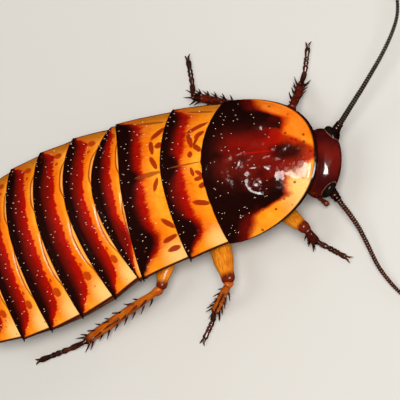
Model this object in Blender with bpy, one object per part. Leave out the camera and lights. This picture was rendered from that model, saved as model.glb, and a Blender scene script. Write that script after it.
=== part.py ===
"""Madagascar hissing cockroach, a still, life-size model.

Every size is in millimetres and MM turns it into Blender's metres. +Z is up and +X is ahead.
Most places are given along the animal: a station behind the pronotum's hind margin, a side to the
animal's left, and a height above the floor. place() turns these into the model's own frame, so
the whole body follows the same gentle bend.
"""
import math
import random

import bmesh
import bpy
import numpy as np
from mathutils import Matrix, Vector

MM = 0.001
GAP = 0.3

# Course of the body: its heading in degrees at stations behind the pronotum
BEND_STATIONS = (0.0, 6.0, 12.0, 20.0)
BEND_HEADINGS = (-8.7, -3.7, -2.1, 6.3)
PRONOTUM_BACK = (3.24, 3.14)
REST_SHIFT = (-5.53, 0.18)
COURSE_STEP = 0.25
COURSE_START = -26.0
COURSE_END = 54.0

# Arch of the back: height of the side edge, rise of the crest, and the two powers of its curve
EDGE_HEIGHT = 5.6
CREST_RISE = 6.35
ARCH_POWER = 1.76
ARCH_ROUND = 0.92
ACROSS = 17

# Back plates: station of the hind margin, half width there, sweep of its corners,
# height of its side edge and rise of its crest
PLATES = {
    "pronotum": (0.0, 9.25, 0.0, EDGE_HEIGHT, CREST_RISE),
    "mesonotum": (5.9, 10.0, 0.9, EDGE_HEIGHT, CREST_RISE),
    "metanotum": (11.95, 10.7, 2.8, EDGE_HEIGHT, CREST_RISE),
    "tergite_1": (16.2, 10.6, -0.8, EDGE_HEIGHT, CREST_RISE),
    "tergite_2": (20.4, 11.5, 0.1, EDGE_HEIGHT, CREST_RISE),
    "tergite_3": (25.15, 11.9, 0.75, EDGE_HEIGHT, CREST_RISE),
    "tergite_4": (29.7, 11.75, 1.2, EDGE_HEIGHT, 6.2),
    "tergite_5": (33.9, 11.2, 1.5, EDGE_HEIGHT, 5.8),
    "tergite_6": (38.0, 10.0, 1.8, EDGE_HEIGHT, 5.1),
    "tergite_7": (42.2, 7.9, 1.7, EDGE_HEIGHT, 4.1),
    "supra_anal_plate": (46.8, 4.6, -2.8, 6.9, 1.5),
}
LIP = 0.35
LIP_ROOT = 0.6
TUCK = 0.9
SIDE_INSET = 0.3
THINNEST = 0.35
RIM = 0.6
VAULT_HEIGHT = 6.0
VAULT_WIDTH = 0.85

# Pronotum: length, height of its front rim and the two powers of its outline
SHIELD_LENGTH = 13.5
SHIELD_FRONT = 7.3
SHIELD_ACROSS = 2.32
SHIELD_ALONG = 1.75
SHIELD_WIDEST = 0.985
VISOR = 0.55
VISOR_FROM = 7.9

# Underside
THORAX_BOTTOM = 4.6
THORAX_WIDTH = 0.72
BELLY_BOTTOM = 2.9
BELLY_WIDTH = 0.82
BELLY_TAIL_RISE = 1.6
BELLY_RISE_FROM = 26.0
BELLY_RISE_LENGTH = 19.0
THORAX_BLOCKS = {
    "prosternum": (-7.4, -0.75),
    "mesosternum": (-0.45, 6.35),
    "metasternum": (6.65, 13.9),
}
STERNITES = {
    "sternite_2": (14.2, 18.6),
    "sternite_3": (18.9, 23.1),
    "sternite_4": (23.4, 27.6),
    "sternite_5": (27.9, 32.1),
    "sternite_6": (32.4, 36.6),
    "sternite_7": (36.9, 45.2),
}

# Head: centre, turn to its right and half sizes across, through and along the face
HEAD_CENTRE = (-11.85, -0.5, 3.6)
HEAD_TURN = -6.0
FACE_SLOPE = 44.0
HEAD_SIZE = (4.35, 2.3, 3.4)
JAW_CUT = -0.82
EYE_PLACE = (3.65, 0.65, 1.5)
EYE_SIZE = (0.75, 0.95, 1.3)
EYE_TURN = 32.0
EYE_NOTCH = 14
SOCKET_PLACE = (2.6, 1.75, -0.5)
NECK_SIZE = (1.6, 0.5)
NECK_HEIGHT = 5.15
MOUTH_LENGTH = 0.8
PALP = ((2.15, 0.2, -3.2), (3.2, 0.7, -3.0), (4.1, 1.3, -2.3), (4.7, 1.7, -1.3))
PALP_RADIUS = 0.3
PALP_WAIST = 0.75

# Cerci: side where they leave the last ring, reach and thickness
CERCUS_SIDE = 5.9
CERCUS_REACH = 3.2
CERCUS_HEIGHT = 6.1
CERCUS_RADIUS = 0.36

# Legs: hip, knee, ankle and toe as station, side, height
HIP_HEIGHT = 2.5
LEGS = {
    "fore_right": ((-3.6, -3.2), (-10.1, -8.6, 4.6), (-9.4, -9.4), (-13.2, -11.9)),
    "fore_left": ((-3.6, 3.2), (-8.9, 6.9, 4.6), (-8.5, 11.1), (-9.4, 15.9)),
    "mid_right": ((4.6, -3.3), (1.35, -13.7, 4.4), (6.9, -16.0), (9.4, -19.0)),
    "mid_left": ((4.6, 3.3), (-1.4, 8.9, 3.6), (6.4, 12.9), (6.7, 18.2)),
    "hind_right": ((10.3, -3.3), (13.0, -12.1, 4.0), (29.3, -13.3), (37.0, -12.8)),
    "hind_left": ((10.3, 3.3), (12.6, 10.3, 2.9), (26.8, 12.0), (34.4, 12.3)),
}
COXA_LEAN = {"fore": 1.5, "mid": 0.3, "hind": -1.5}
COXA_OUT = {"fore": 0.8, "mid": 0.1, "hind": 0.8}
ANKLE_HEIGHT = 0.8
COXA_ROOT = (1.7, 1.5)
HIP_RADIUS = 0.8
KNEE_RADIUS = 0.66
ANKLE_RADIUS = 0.42
FEMUR_WIDTH = {"fore": 1.1, "mid": 1.5, "hind": 1.4}
FEMUR_DEPTH = {"fore": 0.85, "mid": 0.9, "hind": 0.9}
TIBIA_RADIUS = {"fore": 0.58, "mid": 0.6, "hind": 0.62}
TARSUS_RADIUS = {"fore": 0.34, "mid": 0.36, "hind": 0.38}
FOOT_SEGMENTS = (0.36, 0.17, 0.12, 0.09, 0.26)
SOLE_RISE = 0.7
SOLE_FLAT = 0.25
CLAW_REACH = 0.95
CLAW_SPREAD = 28.0
CLAW_RADIUS = 0.2

# Spines of the tibiae: a row is its turn from outward to up in degrees, its number of spines,
# and the shares of the tibia between which they stand
SEED = 7
SPINE_RADIUS = 0.24
SPINE_TIP = 0.05
SPINE_SINK = 0.32
SPINE_LEAN = 42.0
SPINE_LENGTH = {"fore": 1.15, "mid": 1.3, "hind": 1.45}
SPINE_ROWS = {
    "fore": ((-5, 3, 0.3, 0.8), (60, 2, 0.4, 0.7), (180, 3, 0.35, 0.8)),
    "mid": ((-5, 4, 0.25, 0.84), (55, 3, 0.3, 0.75), (185, 3, 0.35, 0.8)),
    "hind": ((-8, 6, 0.16, 0.88), (50, 5, 0.22, 0.82), (180, 4, 0.35, 0.85)),
}
SPUR_TURNS = (0, 65, 115, 180)
SPUR_BACK = 0.75
SPUR_LENGTH = 1.3

# Antennae: points beyond the scape as station, side, height, and radii
ANTENNA_LEFT = ((-14.3, 2.6, 3.0), (-15.0, 3.05, 4.2), (-16.2, 4.0, 5.2), (-17.9, 5.2, 6.1), (-20.9, 7.6, 7.4),
                (-23.9, 11.0, 8.4), (-26.2, 14.4, 8.9), (-28.0, 18.2, 8.6), (-29.2, 22.0, 7.6))
ANTENNA_RIGHT = ((-13.1, -4.3, 2.5), (-13.9, -5.5, 2.5), (-14.9, -7.1, 2.1), (-15.8, -8.8, 1.7), (-16.5, -10.6, 1.3),
                 (-18.0, -14.2, 0.9), (-20.6, -17.6, 0.7), (-24.0, -20.2, 0.6), (-28.0, -21.8, 0.55))
ANTENNA_BASE = 0.47
ANTENNA_TIP = 0.25
RING_SWELL = 1.06
RING_WAIST = 0.9
SCAPE_RADIUS = 0.55
SCAPE_LENGTH = 1.6

COLOURS = {
    "shield": ((0.12, 0.01, 0.006), 0.25),
    "plate": ((0.35, 0.06, 0.01), 0.28),
    "belly": ((0.22, 0.07, 0.02), 0.4),
    "head": ((0.11, 0.008, 0.005), 0.22),
    "eye": ((0.01, 0.008, 0.008), 0.15),
    "mouth": ((0.16, 0.04, 0.015), 0.4),
    "antenna": ((0.03, 0.012, 0.008), 0.35),
    "thigh": ((0.55, 0.2, 0.03), 0.35),
    "shank": ((0.2, 0.05, 0.015), 0.38),
    "foot": ((0.06, 0.02, 0.01), 0.38),
}


def clear_scene():
    for old in list(bpy.data.objects):
        bpy.data.objects.remove(old, do_unlink=True)


def collection(name):
    made = bpy.data.collections.new(name)
    bpy.context.scene.collection.children.link(made)
    return made


def finish_material(kind):
    colour, roughness = COLOURS[kind]
    made = bpy.data.materials.get(kind) or bpy.data.materials.new(kind)
    made.use_nodes = True
    shader = made.node_tree.nodes["Principled BSDF"]
    shader.inputs["Base Color"].default_value = (*colour, 1.0)
    shader.inputs["Roughness"].default_value = roughness
    shader.inputs["Metallic"].default_value = 0.0
    return made


def course():
    """Stations along the body and where its midline and heading are at each."""
    stations = np.arange(COURSE_START, COURSE_END, COURSE_STEP)
    headings = np.radians(np.interp(stations, BEND_STATIONS, BEND_HEADINGS))
    x = -np.cumsum(np.cos(headings)) * COURSE_STEP
    y = -np.cumsum(np.sin(headings)) * COURSE_STEP
    x += PRONOTUM_BACK[0] - REST_SHIFT[0] - np.interp(0.0, stations, x)
    y += PRONOTUM_BACK[1] - REST_SHIFT[1] - np.interp(0.0, stations, y)
    return stations, x, y, headings


COURSE = course()


def place(station, side, height):
    """A point along the animal, as a vector in the model's frame, in millimetres."""
    stations, x, y, headings = COURSE
    heading = float(np.interp(station, stations, headings))
    across = -math.sin(heading), math.cos(heading)
    return Vector((float(np.interp(station, stations, x)) + side * across[0],
                   float(np.interp(station, stations, y)) + side * across[1], height))


def mix(a, b, share):
    return a + (b - a) * share


def margin(name, side):
    """Station of a plate's hind margin at a side."""
    station, half, sweep = PLATES[name][:3]
    return station + sweep * min(abs(side) / half, 1.0) ** 2


def margin_top(name, side):
    """Height of the arch along a plate's hind margin."""
    half, edge, rise = PLATES[name][1], *PLATES[name][3:]
    return edge + rise * (1 - min(abs(side) / half, 1.0) ** ARCH_POWER) ** ARCH_ROUND


def tuck_at(share):
    """How far the hind face lies under its lip, none at the sides."""
    return TUCK * (1 - share ** 4)


def new_object(name, shape, kind, where):
    """Turn a bmesh in millimetres into a named object in metres with its material."""
    bmesh.ops.triangulate(shape, faces=shape.faces[:], ngon_method="EAR_CLIP")
    bmesh.ops.recalc_face_normals(shape, faces=shape.faces[:])
    if shape.calc_volume(signed=True) < 0:
        bmesh.ops.reverse_faces(shape, faces=shape.faces[:])
    bmesh.ops.scale(shape, vec=(MM, MM, MM), verts=shape.verts[:])
    mesh = bpy.data.meshes.new(name)
    shape.to_mesh(mesh)
    shape.free()
    mesh.materials.append(finish_material(kind))
    made = bpy.data.objects.new(name, mesh)
    where.objects.link(made)
    return made


def loft(rings):
    """A closed skin over rings of equal count, capped at both ends."""
    shape = bmesh.new()
    rows = [[shape.verts.new(point) for point in ring] for ring in rings]
    count = len(rows[0])
    for row, following in zip(rows, rows[1:]):
        for i in range(count):
            j = (i + 1) % count
            shape.faces.new((row[i], row[j], following[j], following[i]))
    shape.faces.new(rows[0][::-1])
    shape.faces.new(rows[-1])
    return shape


def across_shares(count=ACROSS):
    return [math.sin(math.pi / 2 * mix(-1, 1, i / (count - 1))) for i in range(count)]


def underside(share, edge):
    """Height of a plate's underside: a flat vault that turns to the rim."""
    turn = max(abs(share) - VAULT_WIDTH, 0.0) / (1 - VAULT_WIDTH)
    return mix(VAULT_HEIGHT, edge - RIM, turn)


def lip_depths(share):
    """Thickness of the lip at its edge and at its root."""
    return LIP * (1 - 0.4 * share ** 4), mix(LIP_ROOT, LIP, share ** 4)


def hind_lip(name, share, side):
    """The overhanging hind margin: its top edge, lower edge and root."""
    end = margin(name, side)
    top = margin_top(name, side)
    thin, root = lip_depths(share)
    return (end, top), (end - 0.12, top - thin), (end - tuck_at(share) - 0.02, top - root)


def back_plate(name, front, where):
    """One plate of the back, its front tucked under the margin before it."""
    half, edge_height = PLATES[name][1], PLATES[name][3]
    front_half = half if name == "supra_anal_plate" else PLATES[front][1] - SIDE_INSET
    rings = []
    for share in across_shares():
        side = share * front_half
        thin, deep = lip_depths(side / PLATES[front][1])
        start = margin(front, side) - tuck_at(side / PLATES[front][1]) + GAP
        start_top = margin_top(front, side) - deep - GAP
        shown = margin(front, side) + GAP / 2
        shown_top = margin_top(front, side) - thin - GAP
        own = share * half
        edge, lower, root = hind_lip(name, share, own)
        rise_at = mix(shown, edge[0], 0.55)
        floor = underside(share, edge_height)
        profile = [
            (start, side, start_top), (shown, side, shown_top),
            (rise_at, mix(side, own, 0.6), mix(shown_top, edge[1], 0.62)), (edge[0] - 0.5, own, edge[1] - 0.04),
            (edge[0], own, edge[1]), (lower[0], own, lower[1]), (root[0], own, root[1]),
            (root[0], own, min(floor, root[1] - THINNEST)), (start, side, min(floor, start_top - THINNEST)),
        ]
        rings.append([place(*point) for point in profile])
    return new_object(name, loft(rings), "plate", where)


def shield_top(ahead, side):
    """Height of the pronotum over a point ahead of its hind margin."""
    half = PLATES["pronotum"][1]
    reach = min((max(ahead, 0.0) / SHIELD_LENGTH) ** SHIELD_ALONG + (abs(side) / half) ** SHIELD_ACROSS, 1.0)
    rim = mix(EDGE_HEIGHT, SHIELD_FRONT, (max(ahead, 0.0) / SHIELD_LENGTH) ** 2)
    rise = CREST_RISE * (1 - reach ** (ARCH_POWER / SHIELD_ACROSS)) ** ARCH_ROUND
    return rim + rise, rim, reach


def shield_under(ahead, side):
    top, rim, reach = shield_top(ahead, side)
    vault = mix(0.9, 2.4, min(max((ahead - VISOR_FROM) / 0.8, 0.0), 1.0))
    return min(top - VISOR, rim - 0.5 + vault * min((1 - reach) / 0.3, 1.0))


def pronotum(where):
    """The shield over the thorax, thin as a visor over the head."""
    half = PLATES["pronotum"][1]
    forward = (0.0, 0.12, 0.3, 0.5, 0.68, 0.82, 0.92, 1.0)
    rings = []
    for share in across_shares():
        share *= SHIELD_WIDEST
        side = share * half
        length = SHIELD_LENGTH * (1 - abs(share) ** SHIELD_ACROSS) ** (1 / SHIELD_ALONG)
        edge, lower, root = hind_lip("pronotum", share / SHIELD_WIDEST, side)
        profile = [(-lower[0], side, lower[1]), (-root[0], side, root[1])]
        start = max(-root[0], 0.05)
        for part in forward:
            ahead = mix(start, length, part)
            profile.append((ahead, side, shield_under(ahead, side)))
        for part in forward[:0:-1]:
            ahead = length * part
            profile.append((ahead, side, shield_top(ahead, side)[0]))
        profile.append((-edge[0], side, edge[1]))
        rings.append([place(-point[0], point[1], point[2]) for point in profile])
    return new_object("pronotum", loft(rings), "shield", where)


def half_width(station):
    stations = [plate[0] for plate in PLATES.values()]
    halves = [plate[1] for plate in PLATES.values()]
    return float(np.interp(station, stations, halves))


def block(name, ends, width, top, bottom, kind, where):
    """A block of the underside between two stations, with rounded lower sides."""
    shares = (-1.0, -0.86, -0.5, 0.0, 0.5, 0.86, 1.0)
    depths = (0.55, 0.86, 0.98, 1.0, 0.98, 0.86, 0.55)
    rings = []
    for station in np.linspace(ends[0], ends[1], 4):
        half = width * half_width(max(station, 0.0)) * side_taper(name, station, ends)
        low = bottom(station)
        ring = [place(station, -half, top), place(station, half, top)]
        for share, depth in zip(shares[::-1], depths[::-1]):
            ring.append(place(station, share * half, mix(top, low, depth)))
        rings.append(ring)
    return new_object(name, loft(rings), kind, where)


def side_taper(name, station, ends):
    """The first block narrows to the neck and the last one to the tail."""
    along = (station - ends[0]) / (ends[1] - ends[0])
    if name == "prosternum":
        return mix(0.5, 1.0, min(along * 1.8, 1.0))
    if name == "sternite_7":
        return mix(1.0, 0.78, along)
    return 1.0


def belly_bottom(station):
    """Height of the belly, which rises towards the tail."""
    return BELLY_BOTTOM + BELLY_TAIL_RISE * max((station - BELLY_RISE_FROM) / BELLY_RISE_LENGTH, 0.0) ** 2


def unit(vector):
    return Vector(vector).normalized()


def ring_at(centre, along, wide, half_wide, half_deep, sides):
    """An elliptical ring square to a direction."""
    along = unit(along)
    first = unit(Vector(wide) - along * Vector(wide).dot(along))
    second = along.cross(first)
    turns = [2 * math.pi * i / sides for i in range(sides)]
    return [centre + first * (half_wide * math.cos(a)) + second * (half_deep * math.sin(a)) for a in turns]


def onto_plane(ring, along, point, normal):
    """Slide a ring along a direction until it lies on a plane."""
    return [p + along * ((point - p).dot(normal) / along.dot(normal)) for p in ring]


def limb(start, end, start_plane, end_plane, sizes, sides=8, wide=(0, 0, 1)):
    """A tapered limb piece between two joint planes; sizes are share, half width and half depth."""
    along = unit(end - start)
    rings = []
    for at, half_wide, half_deep in sizes:
        rings.append(ring_at(start.lerp(end, at), along, wide, half_wide, half_deep, sides))
    rings[0] = onto_plane(rings[0], along, start + start_plane * (GAP / 2), start_plane)
    rings[-1] = onto_plane(rings[-1], along, end - end_plane * (GAP / 2), end_plane)
    return rings


def clear_of_joint(radius, along, normal, span):
    """Share of a limb's span at which a square ring is clear of its slanting joint face."""
    lean = math.acos(min(abs(along.dot(normal)), 1.0))
    return (radius * math.tan(lean) + 0.2) / span


def hull(points):
    shape = bmesh.new()
    for point in points:
        shape.verts.new(point)
    made = bmesh.ops.convex_hull(shape, input=shape.verts[:])
    inside = [v for v in made["geom_interior"] if isinstance(v, bmesh.types.BMVert)]
    bmesh.ops.delete(shape, geom=inside, context="VERTS")
    return shape


def leg(name, where):
    """Coxa, femur, tibia and tarsus of one leg, parted by thin cuts at the joints."""
    pair, flank = name.split("_")
    hip_at, knee_at, ankle_at, toe_at = LEGS[name]
    outward = -1 if flank == "right" else 1
    root = place(hip_at[0] + COXA_LEAN[pair], hip_at[1] + outward * COXA_OUT[pair], THORAX_BOTTOM - GAP)
    hip = place(*hip_at, HIP_HEIGHT)
    knee = place(*knee_at)
    ankle = place(*ankle_at, ANKLE_HEIGHT)
    toe = place(*toe_at, ANKLE_HEIGHT * 0.4)
    down, thigh, shank, foot = unit(hip - root), unit(knee - hip), unit(ankle - knee), unit(toe - ankle)
    foot_flat = unit((foot.x, foot.y, 0))
    hip_plane, knee_plane, ankle_plane = unit(down + thigh), unit(thigh + shank), unit(shank + foot_flat)

    hip_ring = onto_plane(ring_at(hip, down, (1, 0, 0), HIP_RADIUS, HIP_RADIUS, 8), down,
                          hip - hip_plane * (GAP / 2), hip_plane)
    root_ring = ring_at(root, (0, 0, -1), (1, 0, 0), *COXA_ROOT, 10)
    new_object(f"coxa_{name}", hull(hip_ring + root_ring), "thigh", where)

    span = (knee - hip).length
    near = clear_of_joint(HIP_RADIUS, thigh, hip_plane, span)
    far = 1 - clear_of_joint(KNEE_RADIUS, thigh, knee_plane, span)
    level = thigh.cross(Vector((0, 0, 1)))
    wide, deep = FEMUR_WIDTH[pair], FEMUR_DEPTH[pair]
    sizes = [(0.0, HIP_RADIUS, HIP_RADIUS), (near, HIP_RADIUS * 1.05, HIP_RADIUS),
             (mix(near, far, 0.3), wide, deep), (mix(near, far, 0.65), wide * 0.95, deep * 0.95),
             (far, KNEE_RADIUS * 1.1, KNEE_RADIUS), (1.0, KNEE_RADIUS, KNEE_RADIUS)]
    new_object(f"femur_{name}", loft(limb(hip, knee, hip_plane, knee_plane, sizes, wide=level)), "thigh", where)

    span = (ankle - knee).length
    near = clear_of_joint(KNEE_RADIUS, shank, knee_plane, span)
    far = 1 - clear_of_joint(ANKLE_RADIUS, shank, ankle_plane, span)
    thick = TIBIA_RADIUS[pair]
    sizes = [(0.0, KNEE_RADIUS * 0.9, KNEE_RADIUS * 0.9), (near, thick, thick), (mix(near, far, 0.5), thick, thick),
             (far, thick * 0.85, thick * 0.85), (1.0, ANKLE_RADIUS, ANKLE_RADIUS)]
    tibia = new_object(f"tibia_{name}", loft(limb(knee, ankle, knee_plane, ankle_plane, sizes)), "shank", where)
    fuse(tibia, tibia_spines(pair, outward, knee, ankle, toe, where))

    thick = TARSUS_RADIUS[pair]
    rings = []
    for share, swell in foot_profile():
        down = min(share / FOOT_SEGMENTS[0], 1.0)
        centre = ankle.lerp(toe, share)
        centre.z = mix(ANKLE_HEIGHT, thick * SOLE_RISE, down)
        radius = mix(ANKLE_RADIUS, thick * swell, down)
        ring = ring_at(centre, foot_flat, (0, 0, 1), radius, radius, 8)
        if share == 0.0:
            ring = onto_plane(ring, foot_flat, ankle + ankle_plane * (GAP / 2), ankle_plane)
        rings.append([Vector((p.x, p.y, 0.0 if p.z < thick * SOLE_FLAT else p.z)) for p in ring])
    tarsus = new_object(f"tarsus_{name}", loft(rings), "foot", where)
    fuse(tarsus, [claw(name, side, toe, foot_flat, thick, where) for side in (-1, 1)])


def foot_profile():
    """Shares along the foot and how thick it is there: each segment widens to its end."""
    profile = [(0.0, 1.0)]
    start = 0.0
    for length in FOOT_SEGMENTS:
        if start > 0:
            profile.append((start + 0.015, 0.84))
        profile.append((start + length - 0.02, 1.06))
        start += length
    profile[-1] = (1.0, 0.8)
    return profile


def claw(name, side, toe, ahead, thick, where):
    """One hooked claw, rooted in the end of the foot and turned down to the floor."""
    base = Vector((toe.x, toe.y, thick * SOLE_RISE)) - ahead * 0.25
    aside = ahead.cross(Vector((0, 0, 1))) * side
    spread = math.radians(CLAW_SPREAD)
    out = ahead * math.cos(spread) + aside * math.sin(spread)
    path = ((0.0, 0.05, 1.0), (0.45, 0.12, 0.95), (0.8, 0.05, 0.6), (1.0, -0.08, 0.2))
    rings = []
    for share, lift, taper in path:
        centre = base + aside * 0.1 + out * (share * (CLAW_REACH + 0.25)) + Vector((0, 0, lift))
        radius = CLAW_RADIUS * taper
        rings.append(ring_at(centre, out, (0, 0, 1), radius, radius, 5))
    return new_object(f"claw_{name}_{side}", loft(rings), "foot", where)


def spine(name, root, out, length, radius, kind, where):
    """A tapering spine from its sunk root to its tip."""
    shape = bmesh.new()
    turn = out.to_track_quat("Z", "Y").to_matrix().to_4x4()
    middle = Matrix.Translation(root + out * (length / 2)) @ turn
    bmesh.ops.create_cone(shape, cap_ends=True, segments=5, radius1=radius, radius2=SPINE_TIP, depth=length,
                          matrix=middle)
    return new_object(name, shape, kind, where)


def near_line(point, start, end):
    """Distance of a point from the stretch between two others."""
    along = end - start
    share = min(max((point - start).dot(along) / along.length_squared, 0.0), 1.0)
    return (point - start - along * share).length


def tibia_spines(pair, outward, knee, ankle, toe, where):
    """Rows of spines along a tibia and spurs round its end, clear of the foot and the floor."""
    shank = unit(ankle - knee)
    level = unit(shank.cross(Vector((0, 0, 1))))
    if level.y * outward < 0:
        level.negate()
    rise = level.cross(shank) if level.cross(shank).z > 0 else shank.cross(level)
    draw = random.Random(f"{SEED} {pair} {outward}")
    wanted = []
    for turn, count, start, end in SPINE_ROWS[pair]:
        for i in range(count):
            share = mix(start, end, i / (count - 1)) + draw.uniform(-0.015, 0.015)
            wanted.append((share, turn + draw.uniform(-8, 8), SPINE_LENGTH[pair] * draw.uniform(0.85, 1.1)))
    end_share = 1 - SPUR_BACK / (ankle - knee).length
    wanted += [(end_share, turn, SPUR_LENGTH * draw.uniform(0.9, 1.1)) for turn in SPUR_TURNS]
    foot = Vector((toe.x, toe.y, TARSUS_RADIUS[pair]))
    made = []
    for share, turn, length in wanted:
        turn = math.radians(turn)
        radial = level * math.cos(turn) + rise * math.sin(turn)
        lean = math.radians(SPINE_LEAN + draw.uniform(-5, 5))
        out = shank * math.cos(lean) + radial * math.sin(lean)
        surface = knee.lerp(ankle, share) + radial * (TIBIA_RADIUS[pair] * 0.85)
        tip = surface + out * length
        clear = near_line(tip, ankle, foot) > TARSUS_RADIUS[pair] + GAP * 1.6
        if tip.z > GAP + SPINE_TIP and clear:
            made.append(spine(f"spine_{len(made)}", surface - out * SPINE_SINK, out, length + SPINE_SINK,
                              SPINE_RADIUS, "shank", where))
    return made


def fuse(base, pieces):
    """Join closed pieces to a node by one union, and keep only its largest closed surface."""
    group = collection(f"{base.name}_pieces")
    for piece in pieces:
        group.objects.link(piece)
    union = base.modifiers.new("union", "BOOLEAN")
    union.operation = "UNION"
    union.operand_type = "COLLECTION"
    union.collection = group
    union.solver = "EXACT"
    bpy.context.view_layer.update()
    joined = bpy.data.meshes.new_from_object(base.evaluated_get(bpy.context.evaluated_depsgraph_get()))
    base.modifiers.remove(union)
    base.data = joined
    for piece in pieces:
        bpy.data.objects.remove(piece, do_unlink=True)
    bpy.data.collections.remove(group)
    keep_largest(joined)


def keep_largest(mesh):
    """Drop every closed surface of a mesh but the one of most volume."""
    shape = bmesh.new()
    shape.from_mesh(mesh)
    left = set(shape.verts)
    islands = []
    while left:
        island, edge = set(), [left.pop()]
        while edge:
            vert = edge.pop()
            island.add(vert)
            near = {link.other_vert(vert) for link in vert.link_edges} & left
            left -= near
            edge.extend(near)
        islands.append(island)
    largest = max(islands, key=lambda island: extent(island))
    bmesh.ops.delete(shape, geom=[vert for vert in shape.verts if vert not in largest], context="VERTS")
    bmesh.ops.triangulate(shape, faces=shape.faces[:])
    shape.to_mesh(mesh)
    shape.free()


def extent(verts):
    """Volume of the box round some vertices."""
    spots = np.array([vert.co for vert in verts])
    return float(np.prod(np.ptp(spots, axis=0)))


def head_frame():
    heading = float(np.interp(HEAD_CENTRE[0], COURSE[0], COURSE[3])) + math.radians(HEAD_TURN)
    ahead = Vector((math.cos(heading), math.sin(heading), 0))
    left = Vector((-math.sin(heading), math.cos(heading), 0))
    slope = math.radians(FACE_SLOPE)
    face = ahead * math.cos(slope) - Vector((0, 0, math.sin(slope)))
    crown = ahead * math.sin(slope) + Vector((0, 0, math.cos(slope)))
    return place(*HEAD_CENTRE), left, face, crown


def on_head(left_by, face_by, crown_by):
    centre, left, face, crown = head_frame()
    return centre + left * left_by + face * face_by + crown * crown_by


def head_half(share):
    """Half width and half depth of the head at a share from jaw (-1) to crown (1)."""
    round_off = max(1 - abs(share) ** 2.4, 0.0) ** 0.5
    chin = max(-share, 0.0)
    return HEAD_SIZE[0] * round_off * (1 - 0.25 * chin), HEAD_SIZE[1] * round_off * (1 - 0.15 * chin)


def head(where):
    centre, left, face, crown = head_frame()
    rings = []
    for share in (JAW_CUT, -0.6, -0.3, 0.0, 0.3, 0.55, 0.75, 0.9, 0.985):
        wide, deep = head_half(share)
        rings.append(ring_at(on_head(0, 0, share * HEAD_SIZE[2]), crown, left, wide, deep, 20))
    made = new_object("head", loft(rings), "head", where)
    return made


def neck_shape(grow):
    """An elliptical tube from the thorax into the back of the head."""
    start = place(THORAX_BLOCKS["prosternum"][0] - GAP, 0, NECK_HEIGHT)
    end = on_head(0, -0.9, 0.9)
    along = unit(end - start)
    wide, deep = NECK_SIZE[0] + grow, NECK_SIZE[1] + grow
    first = ring_at(start, place(-9, 0, 0) - place(-8, 0, 0), place(0, 1, 0) - place(0, 0, 0), wide, deep, 12)
    last = ring_at(end + along * grow, along, (0, 0, 1), deep * 1.2, wide, 12)
    return loft([first, ring_at(start.lerp(end, 0.5), along, (0, 0, 1), deep * 1.1, wide, 12)[9:] +
                 ring_at(start.lerp(end, 0.5), along, (0, 0, 1), deep * 1.1, wide, 12)[:9],
                 last[9:] + last[:9]])


def mouthparts(where):
    """Labrum and jaws below the head's lower end."""
    _, left, _, crown = head_frame()
    top = JAW_CUT * HEAD_SIZE[2] - GAP
    wide, deep = head_half(JAW_CUT)
    rings = []
    for share, narrow in ((0.0, 0.95), (0.5, 0.82), (1.0, 0.5)):
        centre = on_head(0, 0, top - share * MOUTH_LENGTH)
        rings.append(ring_at(centre, crown, left, wide * narrow, deep * narrow, 12))
    new_object("mouthparts", loft(rings), "mouth", where)


def palp(flank, where):
    side = "left" if flank > 0 else "right"
    points = [on_head(out * flank, face_by, crown_by) for out, face_by, crown_by in PALP]
    points = smooth_course(points, 0.5)
    radii = [PALP_RADIUS * (PALP_WAIST if i % 3 == 0 else 1.0) for i in range(len(points))]
    curve_tube(f"palp_{side}", points, radii, "mouth", where)


def cercus(flank, where):
    side = "left" if flank > 0 else "right"
    root = margin("tergite_7", CERCUS_SIDE) - tuck_at(CERCUS_SIDE / PLATES["tergite_7"][1]) + GAP * 1.8
    points = [place(root + CERCUS_REACH * share, flank * (CERCUS_SIDE + 0.8 * share), CERCUS_HEIGHT - 0.3 * share)
              for share in (0.0, 0.25, 0.5, 0.75, 1.0)]
    radii = [CERCUS_RADIUS * thick for thick in (0.8, 1.0, 0.95, 0.75, 0.3)]
    curve_tube(f"cercus_{side}", points, radii, "belly", where)


def eye_shape(flank, grow):
    centre, left, face, crown = head_frame()
    shape = bmesh.new()
    bmesh.ops.create_uvsphere(shape, u_segments=12, v_segments=8, radius=1.0)
    turn = math.radians(EYE_TURN) * flank
    out = left * flank * math.cos(turn * flank) + face * math.sin(turn * flank)
    along = crown
    through = out.cross(along)
    middle = on_head(EYE_PLACE[0] * flank, EYE_PLACE[1], EYE_PLACE[2])
    for vert in shape.verts:
        p = vert.co.copy()
        vert.co = (middle + out * (p.x * (EYE_SIZE[0] + grow)) + through * (p.y * (EYE_SIZE[1] + grow))
                   + along * (p.z * (EYE_SIZE[2] + grow)))
    return shape


def antenna_line(flank):
    """Points at steps of one gap along an antenna, from its socket to its tip."""
    base = on_head(SOCKET_PLACE[0] * flank, SOCKET_PLACE[1], SOCKET_PLACE[2])
    onward = [place(*point) for point in (ANTENNA_LEFT if flank > 0 else ANTENNA_RIGHT)]
    return smooth_course([base] + onward, GAP)


def scape_socket(flank):
    """The hole that an antenna's first length stands in, one gap larger than it."""
    line = antenna_line(flank)
    radius = SCAPE_RADIUS + GAP
    rings = [ring_at(line[0] * 2 - line[1], line[1] - line[0], (0, 0, 1), radius, radius, 12)]
    for i in range(1, EYE_NOTCH, 2):
        rings.append(ring_at(line[i], line[i + 1] - line[i - 1], (0, 0, 1), radius, radius, 12))
    return loft(rings)


def cut(target, shape, cutters):
    """Cut a shape out of an object."""
    tool = new_object(f"cut_{target.name}", shape, "mouth", cutters)
    tool.hide_render = True
    tool.display_type = "WIRE"
    bite = target.modifiers.new("cut", "BOOLEAN")
    bite.operation = "DIFFERENCE"
    bite.object = tool
    bite.solver = "EXACT"


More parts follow.
